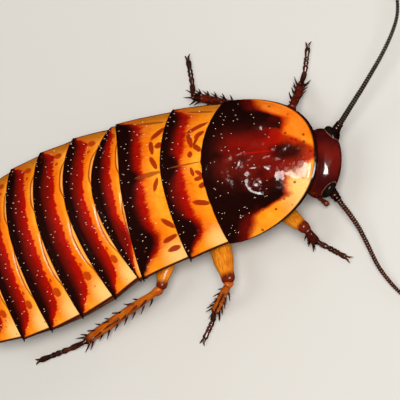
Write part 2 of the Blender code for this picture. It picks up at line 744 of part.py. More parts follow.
def curve_tube(name, points, radii, kind, where, resolution=1):
    """A tube along points, given in millimetres, with a radius at each."""
    curve = bpy.data.curves.new(name, "CURVE")
    curve.dimensions = "3D"
    curve.bevel_depth = MM
    curve.bevel_resolution = resolution
    curve.use_fill_caps = True
    spline = curve.splines.new("POLY")
    spline.points.add(len(points) - 1)
    for spot, point, radius in zip(spline.points, points, radii):
        spot.co = (*(point * MM), 1.0)
        spot.radius = radius
    curve.materials.append(finish_material(kind))
    made = bpy.data.objects.new(name, curve)
    where.objects.link(made)
    return made


def smooth_course(points, step):
    """Points at equal steps along a smooth curve through the given ones."""
    stops = [Vector(p) for p in points]
    stops = [stops[0] * 2 - stops[1]] + stops + [stops[-1] * 2 - stops[-2]]
    fine = []
    for a, b, c, d in zip(stops, stops[1:], stops[2:], stops[3:]):
        for i in range(24):
            t = i / 24
            fine.append(0.5 * (2 * b + (c - a) * t + (2 * a - 5 * b + 4 * c - d) * t * t
                               + (3 * b - a - 3 * c + d) * t ** 3))
    fine.append(stops[-2])
    lengths = np.cumsum([0] + [(q - p).length for p, q in zip(fine, fine[1:])])
    wanted = np.arange(0, lengths[-1], step)
    axes = [np.interp(wanted, lengths, [p[i] for p in fine]) for i in range(3)]
    return [Vector(p) for p in zip(*axes)]


def antenna(flank, where):
    side = "left" if flank > 0 else "right"
    line = antenna_line(flank)
    scape_end = round(SCAPE_LENGTH / GAP)
    half = (scape_end + len(line)) // 2
    radii = [mix(ANTENNA_BASE, ANTENNA_TIP, i / (len(line) - 1)) for i in range(len(line))]
    lengths = {"scape": (0, scape_end), "flagellum_1": (scape_end + 1, half), "flagellum_2": (half + 1, len(line) - 1)}
    for piece, (first, last) in lengths.items():
        picked = list(range(first, last + 1))
        thick = [SCAPE_RADIUS if piece == "scape" else radii[i] * (RING_SWELL, RING_WAIST)[i % 2] for i in picked]
        curve_tube(f"{piece}_{side}", [line[i] for i in picked], thick, "antenna", where)


def build():
    clear_scene()
    body = collection("madagascar_hissing_cockroach")
    cutters = collection("cutters")
    pronotum(body)
    names = list(PLATES)
    for front, name in zip(names, names[1:]):
        back_plate(name, front, body)
    for name, ends in THORAX_BLOCKS.items():
        block(name, ends, THORAX_WIDTH, VAULT_HEIGHT - GAP, lambda station: THORAX_BOTTOM, "belly", body)
    for name, ends in STERNITES.items():
        block(name, ends, BELLY_WIDTH, VAULT_HEIGHT - GAP, belly_bottom, "belly", body)
    skull = head(body)
    new_object("neck", neck_shape(0.0), "mouth", body)
    cut(skull, neck_shape(GAP), cutters)
    mouthparts(body)
    for flank, side in ((1, "left"), (-1, "right")):
        eye = new_object(f"eye_{side}", eye_shape(flank, 0.0), "eye", body)
        cut(eye, scape_socket(flank), cutters)
        cut(skull, eye_shape(flank, GAP), cutters)
        cut(skull, scape_socket(flank), cutters)
        antenna(flank, body)
        palp(flank, body)
        cercus(flank, body)
    for name in LEGS:
        leg(name, body)


build()
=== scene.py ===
# %% [markdown]
# # A Madagascar hissing cockroach, life size
# The animal is a wingless cockroach about 65 mm long. Its back is a row of overlapping horny plates,
# its head hangs under a broad shield, and it stands on six spiny legs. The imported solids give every
# part its place and size. Here each of them is replaced by a finer surface with its own finish.

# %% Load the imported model
import functools
import math
import random
from math import cos, pi, sin

import bmesh
import bpy
import numpy as np
from mathutils import Matrix, Vector, noise


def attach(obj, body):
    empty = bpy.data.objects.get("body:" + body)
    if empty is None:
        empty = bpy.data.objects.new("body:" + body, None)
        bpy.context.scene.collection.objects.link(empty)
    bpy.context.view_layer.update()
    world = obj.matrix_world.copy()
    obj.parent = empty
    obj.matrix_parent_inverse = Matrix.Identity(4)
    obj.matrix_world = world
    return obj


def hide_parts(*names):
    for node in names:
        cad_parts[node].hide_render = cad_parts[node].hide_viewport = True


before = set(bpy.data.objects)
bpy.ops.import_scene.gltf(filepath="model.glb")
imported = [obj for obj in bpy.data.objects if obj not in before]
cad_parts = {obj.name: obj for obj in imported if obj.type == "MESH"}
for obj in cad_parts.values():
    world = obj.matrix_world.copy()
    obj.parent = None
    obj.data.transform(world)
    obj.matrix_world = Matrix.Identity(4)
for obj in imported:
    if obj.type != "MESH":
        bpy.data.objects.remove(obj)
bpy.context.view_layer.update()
print(len(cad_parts), "solids in the frame")

# %% [markdown]
# ## Driving sizes
# Most places on the animal are given along its body: a station behind the shield's hind edge, a side
# to the animal's left, and a height over the floor, all in millimetres. The whole body follows one
# gentle bend, so a course of headings turns these into the model's own frame.

# %% Sizes of the body
MM = 0.001
BEND_STATIONS = (0.0, 6.0, 12.0, 20.0)
BEND_HEADINGS = (-8.7, -3.7, -2.1, 6.3)
SHIELD_BACK = (3.24, 3.14)
REST_SHIFT = (-5.53, 0.18)
COURSE_STEP = 0.25
COURSE_START = -26.0
COURSE_END = 54.0
EDGE_HEIGHT = 5.6
CREST_RISE = 6.35
ARCH_POWER = 1.76
ARCH_ROUND = 0.92

# Each back plate: station of its hind edge, half width there, sweep of its corners,
# height of its side edge and rise of its crest
PLATES = {
    "pronotum": (0.0, 9.25, 0.0, EDGE_HEIGHT, CREST_RISE),
    "mesonotum": (5.9, 10.0, 0.9, EDGE_HEIGHT, CREST_RISE),
    "metanotum": (11.95, 10.7, 2.8, EDGE_HEIGHT, CREST_RISE),
    "tergite_1": (16.2, 10.6, -0.8, EDGE_HEIGHT, CREST_RISE),
    "tergite_2": (20.4, 11.5, 0.1, EDGE_HEIGHT, CREST_RISE),
    "tergite_3": (25.15, 11.9, 0.75, EDGE_HEIGHT, CREST_RISE),
    "tergite_4": (29.7, 11.75, 1.2, EDGE_HEIGHT, 6.2),
    "tergite_5": (33.9, 11.2, 1.5, EDGE_HEIGHT, 5.8),
    "tergite_6": (38.0, 10.0, 1.8, EDGE_HEIGHT, 5.1),
    "tergite_7": (42.2, 7.9, 1.7, EDGE_HEIGHT, 4.1),
    "supra_anal_plate": (46.8, 4.6, -2.8, 6.9, 1.5),
}
PLATE_NAMES = list(PLATES)


def course():
    """Stations along the body and where its midline and heading are at each."""
    stations = np.arange(COURSE_START, COURSE_END, COURSE_STEP)
    headings = np.radians(np.interp(stations, BEND_STATIONS, BEND_HEADINGS))
    x = -np.cumsum(np.cos(headings)) * COURSE_STEP
    y = -np.cumsum(np.sin(headings)) * COURSE_STEP
    x += SHIELD_BACK[0] - REST_SHIFT[0] - np.interp(0.0, stations, x)
    y += SHIELD_BACK[1] - REST_SHIFT[1] - np.interp(0.0, stations, y)
    return stations, x, y, headings


COURSE = course()


def place(station, side, height):
    """A point along the animal as a vector in the model's frame, in millimetres."""
    x, y, heading = (float(np.interp(station, COURSE[0], run)) for run in COURSE[1:])
    return Vector((x - sin(heading) * side, y + cos(heading) * side, height))


def mix(first, second, share):
    return first + (second - first) * share


def clamp(value, low=0.0, high=1.0):
    return max(low, min(high, value))


print("the shield's hind edge is at", tuple(round(v, 2) for v in place(0, 0, 0)[:2]), "mm")

# %% [markdown]
# ## Camera, floor and light
# The picture looks down on the animal from its right side, ahead and above, and the camera is rolled
# so that the head points to the right. A long lens from a quarter of a metre keeps the shape free of
# strong perspective. The floor is one pale plane, and the light is soft studio light: a lamp high
# beside the camera gives the glints on the shield and head, and three weak ones open the shadows.
# Only that one lamp is mirrored, as with a single flash. The horn would mirror a bright room as a grey
# haze, and the blacks of the animal would be lost.

# %% Camera
VIEW_HEADING = -35.0
VIEW_ELEVATION = 56.317
VIEW_ROLL = 69.75
VIEW_DISTANCE = 250.0
VIEW_SPAN = 49.63
SENSOR = 36.0
TARGET_HEIGHT = 8.0
NEAR_CLIP = 0.01


def add_object(name, data):
    """Put a new object into the scene."""
    made = bpy.data.objects.new(name, data)
    bpy.context.scene.collection.objects.link(made)
    return made


def photo_camera():
    elevation, heading, roll = (math.radians(v) for v in (VIEW_ELEVATION, VIEW_HEADING, VIEW_ROLL))
    back = Vector((cos(elevation) * cos(heading), cos(elevation) * sin(heading),
                   sin(elevation)))
    level = Vector((-sin(heading), cos(heading), 0.0))
    upright = level.cross(-back)
    right = level * cos(roll) - upright * sin(roll)
    up = level * sin(roll) + upright * cos(roll)
    target = Vector((-REST_SHIFT[0], -REST_SHIFT[1], TARGET_HEIGHT))
    camera = add_object("photo_camera", bpy.data.cameras.new("photo_camera"))
    turn = Matrix((right, up, back)).transposed().to_4x4()
    camera.matrix_world = Matrix.Translation((target + back * VIEW_DISTANCE) * MM) @ turn
    camera.data.sensor_width = SENSOR
    camera.data.lens = SENSOR * VIEW_DISTANCE / VIEW_SPAN
    camera.data.clip_start = NEAR_CLIP
    bpy.context.scene.camera = camera
    return camera


camera = photo_camera()
print("lens", round(camera.data.lens, 1), "mm from", VIEW_DISTANCE, "mm")

# %% [markdown]
# ## Shader maths
# The plates are painted by formulas: where along a plate a point lies, how far to the side, plus some
# noise. A small class wraps a node socket so that such a formula can be written as plain Python, and
# every other node comes from one method of the finish that is being mixed.

# %% Sockets that do sums
MAP_NAME = "Lie"
NOISE_ROUGHNESS = 0.55


class Value:
    """One number socket of a material, with Python's operators."""

    def __init__(self, finish, socket):
        self.finish = finish
        self.socket = socket

    def __add__(self, other):
        return self.finish.sum_up("ADD", self, other)

    def __sub__(self, other):
        return self.finish.sum_up("SUBTRACT", self, other)

    def __rsub__(self, other):
        return self.finish.sum_up("SUBTRACT", other, self)

    def __mul__(self, other):
        return self.finish.sum_up("MULTIPLY", self, other)

    def __pow__(self, other):
        return self.finish.sum_up("POWER", self, other)

    def __abs__(self):
        return self.finish.sum_up("ABSOLUTE", self, 0.0)

    def rise(self, low, high):
        """0 below low and 1 above high, with a soft step between; low above high turns it round."""
        ends = {"Value": self, "From Min": low, "From Max": high, "To Min": 0.0, "To Max": 1.0}
        return self.finish.node("ShaderNodeMapRange", {"interpolation_type": "SMOOTHSTEP"}, ends)

    __radd__ = __add__
    __rmul__ = __mul__


class Finish:
    """A material while it is made: its nodes, its shader and the coordinates it reads."""

    def __init__(self, name, **constants):
        self.material = bpy.data.materials.new(name)
        self.material.use_nodes = True
        self.tree = self.material.node_tree
        self.shader = self.tree.nodes["Principled BSDF"]
        for socket, value in constants.items():
            self.input(socket).default_value = value

    def input(self, name):
        """The shader's socket for a name such as coat_ior."""
        return self.shader.inputs[name.replace("_", " ").title().replace("Ior", "IOR")]

    def fill(self, socket, value):
        if isinstance(value, Value):
            self.tree.links.new(value.socket, socket)
        elif isinstance(value, tuple) and len(value) == 3 and len(socket.default_value) == 4:
            socket.default_value = (*value, 1.0)
        else:
            socket.default_value = value

    def node(self, kind, settings=None, sockets=None, output=0):
        """Add a node: its settings first, then its sockets' values or links."""
        made = self.tree.nodes.new(kind)
        for setting, value in (settings or {}).items():
            setattr(made, setting, value)
        for socket, value in (sockets or {}).items():
            self.fill(made.inputs[socket], value)
        return Value(self, made.outputs[output])

    def sum_up(self, operation, first, second):
        return self.node("ShaderNodeMath", {"operation": operation}, {0: first, 1: second})

    def least(self, first, second):
        return self.sum_up("MINIMUM", first, second)

    def most(self, first, second):
        return self.sum_up("MAXIMUM", first, second)

    def blend(self, factor, first, second):
        """Mix two colours."""
        return self.node("ShaderNodeMix", {"data_type": "RGBA"}, {0: factor, 6: first, 7: second}, 2)

    def over(self, base, *layers):
        """Lay colours over a base one after the other, each through its mask."""
        for mask, tone in layers:
            base = self.blend(mask, base, tone)
        return base

    def pattern_map(self):
        """The two numbers of the piece's own map, as made by the sheets and balloons below."""
        vector = self.node("ShaderNodeUVMap", {"uv_map": MAP_NAME})
        parts = self.node("ShaderNodeSeparateXYZ", None, {0: vector})
        return parts, Value(self, parts.socket.node.outputs[1]), vector

    def spots(self):
        """The places on the piece in the model's own frame."""
        return self.node("ShaderNodeTexCoord", output="Object")

    def noise(self, scale, detail=3.0, vector=None):
        """Soft noise from 0 to 1, spread over the piece itself or over the map that is given."""
        return self.node("ShaderNodeTexNoise", None, {"Vector": vector or self.spots(), "Scale": scale,
                                                      "Detail": detail, "Roughness": NOISE_ROUGHNESS})

    def cells(self, scale, randomness=1.0):
        """Distance from the middle of the nearest of many small cells."""
        return self.node("ShaderNodeTexVoronoi", None,
                         {"Vector": self.spots(), "Scale": scale, "Randomness": randomness})

    def uneven(self, scale, detail, vector, amounts=(1.0, 1.0, 1.0)):
        """Noise above and below 0, drawn out along the piece's own map."""
        stretched = self.node("ShaderNodeVectorMath", {"operation": "MULTIPLY"}, {0: vector, 1: amounts})
        return self.noise(scale, detail, stretched) - 0.5

    def bump(self, height, strength, distance):
        normal = self.node("ShaderNodeBump", None,
                           {"Height": height, "Strength": strength, "Distance": distance})
        self.tree.links.new(normal.socket, self.shader.inputs["Normal"])

    def set(self, **values):
        for socket, value in values.items():
            self.fill(self.input(socket), value)
        return self.material


print("shader maths ready")

# %% Floor and lamps
FLOOR_REACH = 1.5
FLOOR_GREY = (0.54, 0.525, 0.5)
FLOOR_PALE = (0.58, 0.565, 0.54)


def pale_floor():
    shape = bmesh.new()
    bmesh.ops.create_grid(shape, x_segments=2, y_segments=2, size=FLOOR_REACH)
    mesh = bpy.data.meshes.new("pale_floor")
    shape.to_mesh(mesh)
    shape.free()
    finish = Finish("pale_floor", roughness=0.75)
    mesh.materials.append(finish.set(base_color=finish.blend(finish.noise(25.0), FLOOR_GREY, FLOOR_PALE)))
    made = add_object("pale_floor", mesh)
    made.visible_glossy = False


def lamp(name, toward, distance, size, power, colour, glints):
    """A square soft lamp that shines at the animal from a direction, with or without glints."""
    made = add_object(name, bpy.data.lights.new(name, "AREA"))
    made.data.size = size
    made.data.energy = power
    made.data.color = colour
    heading = Vector(toward).normalized()
    made.location = heading * distance
    made.rotation_euler = heading.to_track_quat("Z", "Y").to_euler()
    made.visible_glossy = glints


def soft_room(low, high):
    """Light from all round, dim at the level of the floor and brighter overhead."""
    world = bpy.context.scene.world or bpy.data.worlds.new("soft_room")
    bpy.context.scene.world = world
    world.use_nodes = True
    tree = world.node_tree
    toward = tree.nodes.new("ShaderNodeTexCoord")
    split = tree.nodes.new("ShaderNodeSeparateXYZ")
    tree.links.new(toward.outputs["Generated"], split.inputs[0])
    climb = tree.nodes.new("ShaderNodeMapRange")
    for socket, value in (("From Min", 0.1), ("From Max", 0.9), ("To Min", low), ("To Max", high)):
        climb.inputs[socket].default_value = value
    tree.links.new(split.outputs["Z"], climb.inputs["Value"])
    background = tree.nodes["Background"]
    background.inputs["Color"].default_value = (1.0, 0.98, 0.95, 1.0)
    tree.links.new(climb.outputs["Result"], background.inputs["Strength"])
    world.cycles_visibility.glossy = False


pale_floor()
lamp("key_lamp", (0.45, -0.22, 0.86), 0.55, 0.22, 3.4, (1.0, 0.97, 0.92), True)
lamp("side_lamp", (0.55, 0.75, 0.45), 0.6, 0.3, 0.7, (0.97, 0.98, 1.0), False)
lamp("fill_lamp", (0.6, -0.8, 0.5), 0.7, 0.35, 0.7, (1.0, 0.98, 0.94), False)
lamp("top_lamp", (-0.35, 0.1, 0.93), 0.7, 0.5, 1.5, (1.0, 0.99, 0.97), False)
soft_room(0.03, 0.1)
bpy.context.scene.view_settings.view_transform = "Standard"
print("floor and four lamps")

# %% [markdown]
# ## Sheets and balloons
# Two kinds of shape make nearly the whole animal. A sheet is a flat grid that is bent over the back, and
# its hind edge rolls under as a real horny plate's does. A balloon is a sphere whose poles are pulled
# apart, so that it makes a leg, a feeler or the head, closed at both ends. Both keep a map of where
# each point lies along and across the piece, and the finishes read that map.

# %% Helpers for shapes
def map_layer(shape):
    return shape.loops.layers.uv.get(MAP_NAME) or shape.loops.layers.uv.new(MAP_NAME)


def write_map(shape, places, round_again=False):
    """Store each point's place in the pattern; round pieces close without a torn face."""
    layer = map_layer(shape)
    for face in {face for vert in places for face in vert.link_faces}:
        across = [places[loop.vert][1] for loop in face.loops]
        torn = round_again and max(across) - min(across) > 0.5
        for loop, side in zip(face.loops, across):
            loop[layer].uv = (places[loop.vert][0], side + 1.0 if torn and side < 0.5 else side)


def sheet(rows, columns, spot, lie):
    """A grid bent into a surface; spot and lie take two shares from 0 to 1."""
    shape = bmesh.new()
    map_layer(shape)
    bmesh.ops.create_grid(shape, x_segments=rows, y_segments=columns, size=0.5)
    places = {}
    for vert in shape.verts:
        along, across = vert.co.x + 0.5, vert.co.y + 0.5
        places[vert] = lie(along, across)
        vert.co = spot(along, across)
    write_map(shape, places)
    shape.normal_update()
    return shape


def face_up(shape):
    """Turn an open sheet's faces to the sky."""
    if sum(face.normal.z * face.calc_area() for face in shape.faces) < 0:
        bmesh.ops.reverse_faces(shape, faces=shape.faces[:])
    return shape


def balloon(along, around, spot, shape=None, tone=0):
    """A closed skin: spot takes the share along from pole to pole and the turn round."""
    shape = shape or bmesh.new()
    map_layer(shape)
    made = bmesh.ops.create_uvsphere(shape, u_segments=around, v_segments=along, radius=1.0)
    places = {}
    for vert in made["verts"]:
        share = math.acos(clamp(-vert.co.z, -1.0, 1.0)) / pi
        turn = math.atan2(vert.co.y, vert.co.x)
        places[vert] = (share, turn / (2 * pi) % 1.0)
        vert.co = spot(share, turn)
    write_map(shape, places, round_again=True)
    faces = list({face for vert in places for face in vert.link_faces})
    bmesh.ops.recalc_face_normals(shape, faces=faces)
    if sum(face.calc_center_median().dot(face.normal) * face.calc_area() for face in faces) < 0:
        bmesh.ops.reverse_faces(shape, faces=faces)
    for face in faces:
        face.material_index = tone
    return shape


def lump(along, around, centre, poles, first, second, shape=None, tone=0):
    """An egg-shaped balloon: its middle, half its length from pole to pole and its two half widths."""
    def spot(share, turn):
        out = sin(pi * share)
        level = poles * -cos(pi * share)
        return centre + level + first * (out * cos(turn)) + second * (out * sin(turn))
    return balloon(along, around, spot, shape, tone)


def add_piece(name, shape, finishes, nodes=(), wall=0.0):
    """Turn a shape in millimetres into a piece in metres that rides on the body."""
    bmesh.ops.scale(shape, vec=(MM, MM, MM), verts=shape.verts[:])
    mesh = bpy.data.meshes.new(name)
    shape.to_mesh(mesh)
    shape.free()
    for finish in finishes:
        mesh.materials.append(finish)
    mesh.shade_smooth()
    made = add_object(name, mesh)
    if wall:
        thick = made.modifiers.new("wall", "SOLIDIFY")
        thick.thickness = wall * MM
        thick.offset = -1.0
    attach(made, "root")
    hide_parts(*nodes)
    print(name, len(mesh.polygons), "faces")


# %% Lips that roll under
NEAR = 0.004


def lipped(spot, radius, low=None, high=None, axis=0, bend=150.0):
    """Let a surface roll under past an edge: beyond the share high, or before the share low."""
    def rolled(*shares):
        share = shares[axis]
        if high is not None and share > high:
            edge, over = high, (share - high) / (1.0 - high)
            step = -NEAR
        elif low is not None and share < low:
            edge, over = low, (low - share) / low
            step = NEAR
        else:
            return spot(*shares)
        at = list(shares)
        at[axis] = edge
        beside = list(at)
        beside[1 - axis] += NEAR if at[1 - axis] < 0.5 else -NEAR
        inner = list(at)
        inner[axis] += step
        lip = spot(*at)
        out = (lip - spot(*inner)).normalized()
        down = out.cross(spot(*beside) - lip).normalized()
        if down.z > 0:
            down.negate()
        angle = math.radians(bend) * over
        return lip + out * (radius * sin(angle)) + down * (radius * (1 - cos(angle)))
    return rolled


# %% [markdown]
# ## The arch of the back
# Every plate spans from side to side over the same arch, so its hind edge is one curve with a swept
# corner on each side. The next plate starts under that edge. The same sums as in the solids give the
# curve, so that the fine plates lie exactly where the solids are.

# %% Curves of the plates
LIP_RADIUS = 0.13
RIM_RADIUS = 0.17
LIP_SHARE = 0.94
RIM_SHARE = 0.02
TUCKED = 0.16
TUCK_LENGTH = 1.1
TUCK_DROP = 0.35
SIDE_INSET = 0.3
STEP_DOWN = 0.42
SHOULDER = 1.25
ROWS = 56
COLUMNS = 120
PLATE_WALL = 0.09


def margin(name, side):
    """Station of a plate's hind edge at a side."""
    station, half, sweep = PLATES[name][:3]
    return station + sweep * min(abs(side) / half, 1.0) ** 2


def margin_top(name, side):
    """Height of the arch along a plate's hind edge."""
    half, edge, rise = PLATES[name][1], *PLATES[name][3:]
    return edge + rise * (1 - min(abs(side) / half, 1.0) ** ARCH_POWER) ** ARCH_ROUND


def closer(even):
    """Even steps from -1 to 1, set closer near both ends."""
    return mix(even, sin(pi / 2 * even), 0.6)


def side_share(across):
    """Share of the half width between the rims, from the right edge at -1 to the left at 1."""
    return closer(2 * (across - RIM_SHARE) / (1 - 2 * RIM_SHARE) - 1)


def along_share(along):
    """Share of the shown length, below 0 where the plate is tucked under the one before."""
    return (along / LIP_SHARE - TUCKED) / (1 - TUCKED)


def plate_point(name, front, t, s, relief):
    """A point of a back plate's outer face."""
    half = PLATES[name][1]
    front_half = half if name == "supra_anal_plate" else PLATES[front][1] - SIDE_INSET
    front_side, own = s * front_half, s * half
    t_shown = max(t, 0.0)
    station = mix(margin(front, front_side), margin(name, own), t_shown)
    low = margin_top(front, front_side) - STEP_DOWN
    height = mix(low, margin_top(name, own), 1 - (1 - t_shown) ** SHOULDER)
    hidden = max(-t, 0.0) / (TUCKED / (1 - TUCKED))
    station -= hidden * TUCK_LENGTH * (1 - s ** 4)
    height -= hidden * TUCK_DROP
    return place(station, mix(front_side, own, t_shown), height + relief(t, s))


def back_plate(name, front, relief, finish):
    """A bent plate with a rolled hind lip and side rims, standing for its solid."""
    def outer(along, across):
        return plate_point(name, front, along_share(along), side_share(across), relief)

    rim = lipped(outer, RIM_RADIUS, low=RIM_SHARE, high=1 - RIM_SHARE, axis=1)
    lip = lipped(rim, LIP_RADIUS, high=LIP_SHARE, axis=0)
    shape = sheet(ROWS, COLUMNS, lip, lambda along, across: (along_share(along), side_share(across)))
    add_piece(f"{name}_shell", face_up(shape), [finish], [name], PLATE_WALL)


print("arch at the fourth plate:", round(margin_top("tergite_1", 0.0), 2), "mm high")

# %% [markdown]
# ## The painted back
# Each back plate is amber near its front, red in the middle and black along its hind edge. The borders
# are ragged, drawn out into short streaks along the body. Near the sides the amber runs further back,
# and each plate has a red oval there. Paint by formula keeps this sharp at any distance: every colour
# border is a soft step on the map's share along the plate, shifted by noise.

# %% Colours of the horn
AMBER = (0.84, 0.23, 0.005)
AMBER_PALE = (0.93, 0.34, 0.022)
DEEP_AMBER = (0.72, 0.07, 0.002)
# Cream is painted highlight: on the plates' right edges, in a band just ahead of their groove, and on the
# shield's right front
PAINTED_HIGHLIGHT_CREAM = (0.95, 0.54, 0.18)
RED = (0.35, 0.004, 0.001)
OVAL_RED = (0.42, 0.034, 0.002)
STROKE_RED = (0.28, 0.012, 0.002)
DEEP_RED = (0.13, 0.004, 0.002)
BLACK_RED = (0.01, 0.002, 0.0015)
EDGE_BROWN = (0.05, 0.008, 0.003)
SPECK_BROWN = (0.2, 0.03, 0.004)
# Painted shade on the plates' left edges
PAINTED_SHADE_BROWN = (0.3, 0.08, 0.008)
FIELD_RED = (0.11, 0.006, 0.003)
VEIN_RED = (0.26, 0.004, 0.002)
GROOVE_AT = 0.06
GROOVE_BEND = 0.11
GROOVE_LOBE = 0.42
GROOVE_LOBE_WIDE = 0.24


def mark(at, start, end, thick, ragged):
    """Mask of a rounded stroke between two places on the map."""
    along, across = (value - (a + b) / 2 for value, a, b in zip(at, start, end))
    lean = math.atan2(end[1] - start[1], end[0] - start[0])
    reach = math.dist(start, end) / 2 + thick
    length = along * (cos(lean) / reach) + across * (sin(lean) / reach)
    width = across * (cos(lean) / thick) - along * (sin(lean) / thick)
    return (length * length + width * width + ragged * 1.6).rise(1.45, 0.7)


def spread(at, centre, reach):
    """Mask of a soft round patch."""
    x, y = ((value - middle) * (1 / reach) for value, middle in zip(at, centre))
    return (x * x + y * y).rise(1.0, 0.2)


def lobes(across, places):
    """Bulges of a border: where each is centred, how wide it is and how far it pushes."""
    return sum(abs(across - centre).rise(width, 0.0) * amount for centre, width, amount in places)


def horn_skin(finish, base, gloss, mottle, shine, creases):
    """Gloss, fine pits and shallow wrinkles that all the horny plates share."""
    pits = finish.least(finish.cells(2600.0), 0.4)
    finish.bump(finish.noise(420.0, 2.0) * 0.6 + pits * 0.25 + creases, 0.6, 0.00022)
    return finish.set(base_color=base, roughness=mottle.rise(0.3, 0.75) * 0.13 + gloss,
                      coat_weight=mottle.rise(0.8, 0.3) * shine + 0.02)


def plate_finish(name, middle, widening, black_from, dark_lobes, red_lobes, marks, thin_lines, soft,
                 rough_spots):
    """Amber, red and black bands of one plate, with its ovals and strokes."""
    finish = Finish(name, coat_roughness=0.12, coat_ior=1.8, specular_ior_level=0.08)
    on_thorax = name.endswith("notum_horn")
    along, across, lie = finish.pattern_map()
    at = along, across
    wide = abs(across)
    ragged = finish.uneven(5.0, 4.0, lie, (1.4, 3.2, 1.0))
    streaks = finish.uneven(9.0, 2.0, lie, (0.7, 6.0, 1.0))
    broad = finish.uneven(2.2, 2.0, lie)
    mottle = finish.noise(300.0, 4.0)

    # The two ragged borders: from amber to red, and from red to black
    shift = ragged * 0.16 + streaks * 0.16 + broad * 0.1
    border = wide * wide * widening + wide.rise(0.78, 1.0) * 0.42 + middle
    past = along - border + shift + lobes(across, red_lobes)
    corner_fade = wide.rise(0.75, 1.0) * 0.12
    night = along + broad * 0.14 + ragged * 0.06 - corner_fade + lobes(across, dark_lobes)
    amber = finish.over(
        AMBER,
        ((mottle + streaks * 0.5).rise(0.35, 0.7), AMBER_PALE),
        # The right edge near the front is paler: a painted highlight
        (across.rise(-0.7, -0.95) * along.rise(0.6, 0.15) * 0.9, PAINTED_HIGHLIGHT_CREAM),
        # The left edge is browner: painted shade
        (across.rise(0.75, 0.95) * 0.6, PAINTED_SHADE_BROWN),
        ((past + streaks * 0.3).rise(-0.3, 0.0) * 0.65, DEEP_AMBER))
    red = finish.over(
        RED,
        (past.rise(0.04, 0.3), DEEP_RED),
        (night.rise(black_from - 0.2, black_from + 0.05), BLACK_RED))

    # What lies over the bands: marks, lines, specks, the groove with a pale painted highlight just ahead of
    # it, and the dark edges
    marked = functools.reduce(finish.most, [mark(at, *stroke, ragged) for stroke in marks])
    layers = [(past.rise(-soft, soft), red),
              (marked * past.rise(0.12, 0.0) * 0.95, STROKE_RED if on_thorax else OVAL_RED)]
    layers += [(mark(at, *line, ragged) * 0.75, SPECK_BROWN) for line in thin_lines]
    layers += [(finish.cells(900.0).rise(0.16, 0.1) * wide.rise(0.45, 0.9) * 0.5, SPECK_BROWN)]
    if not on_thorax:
        from_lobe = (wide - GROOVE_LOBE) * (1 / GROOVE_LOBE_WIDE)
        beside = along - GROOVE_AT - (from_lobe * from_lobe).rise(1.6, 0.0) * GROOVE_BEND
        layers += [(abs(beside).rise(0.028, 0.01) * wide.rise(0.85, 0.7) * 0.8, SPECK_BROWN),
                   # The pale band just ahead of the groove is a painted highlight
                   (abs(beside + 0.055).rise(0.035, 0.01) * 0.5, PAINTED_HIGHLIGHT_CREAM)]
    layers += [(wide.rise(0.978, 0.99), EDGE_BROWN),
               (along.rise(0.93, 0.97) * 0.97, BLACK_RED)]
    rough = functools.reduce(finish.most, [spread(at, spot[:2], spot[2]) for spot in rough_spots])
    wrinkled = abs(finish.noise(900.0, 1.5) - 0.5) * -4.0 * rough
    return horn_skin(finish, finish.over(amber, *layers), 0.15, mottle, 0.2, wrinkled)


# %% [markdown]
# ## Plates of the abdomen and thorax
# The two plates behind the shield carry the wing buds of other cockroaches. Here they are only broad
# swept plates, with dark strokes on amber. The abdomen's plates repeat one pattern with small changes.
# A shallow groove runs across each near its front, and low wrinkles break up the glints.

# %% Reliefs
GROOVE_DEEP = 0.1
GROOVE_WIDE = 0.04
GROOVE_RIM = 0.06
HIND_BAND = 0.08
WRINKLE_HIGH = 0.28
SWELL_HIGH = 0.18
KEEL_DEEP = 0.06
KEEL_WIDE = 0.012
THORAX_BAND = 0.05


def bell(value, centre, width):
    """1 at the centre, falling off softly to both sides."""
    return math.exp(-((value - centre) / width) ** 2)


def groove_relief(phase):
    """A cross groove near the front, a raised hind band and low wrinkles."""
    def relief(t, s):
        waves = sin(9 * s + phase) * sin(7 * t + 3 * s + phase)
        groove = GROOVE_AT + GROOVE_BEND * bell(abs(s), GROOVE_LOBE, GROOVE_LOBE_WIDE)
        ridge = HIND_BAND * bell(t, 0.93, 0.06) + GROOVE_RIM * bell(t, groove + 0.08, 0.045)
        ridge -= GROOVE_DEEP * bell(t, groove, GROOVE_WIDE)
        return (1 - s ** 6) * (WRINKLE_HIGH * waves * t * (1 - t) + ridge)
    return relief


def thorax_relief(phase):
    """Broad uneven swellings and a fine line along the middle."""
    def relief(t, s):
        waves = sin(11 * s + phase) * cos(8 * t + 4 * abs(s)) + 0.6 * sin(23 * s + 9 * t + phase)
        ridge = THORAX_BAND * bell(t, 0.94, 0.05) - KEEL_DEEP * bell(s, 0.0, KEEL_WIDE)
        return (1 - s ** 6) * (SWELL_HIGH * waves * t * (1 - t) + ridge)
    return relief


# %% Marks on the plates
# Each mark: start and end on the plate's map, and half its thickness
TERGITE_MARKS = [((0.26, 0.79), (0.38, 0.81), 0.045), ((0.24, -0.73), (0.36, -0.72), 0.045),
                 ((0.3, 0.67), (0.33, 0.67), 0.025), ((0.3, -0.6), (0.33, -0.6), 0.02)]
METANOTUM_MARKS = [((0.261, 0.556), (0.081, 0.667), 0.046), ((0.289, 0.458), (0.233, 0.333), 0.046),
                   ((0.133, 0.411), (0.072, 0.411), 0.049), ((0.247, 0.222), (0.15, 0.111), 0.046),
                   ((0.236, -0.167), (0.153, -0.083), 0.041), ((0.25, -0.542), (0.069, -0.639), 0.035),
                   ((0.33, -0.76), (0.1, -0.74), 0.027), ((0.3, -0.86), (0.1, -0.86), 0.027)]
METANOTUM_LINES = [((0.583, 0.017), (0.083, 0.017), 0.03), ((0.65, 0.86), (0.08, 0.81), 0.018)]
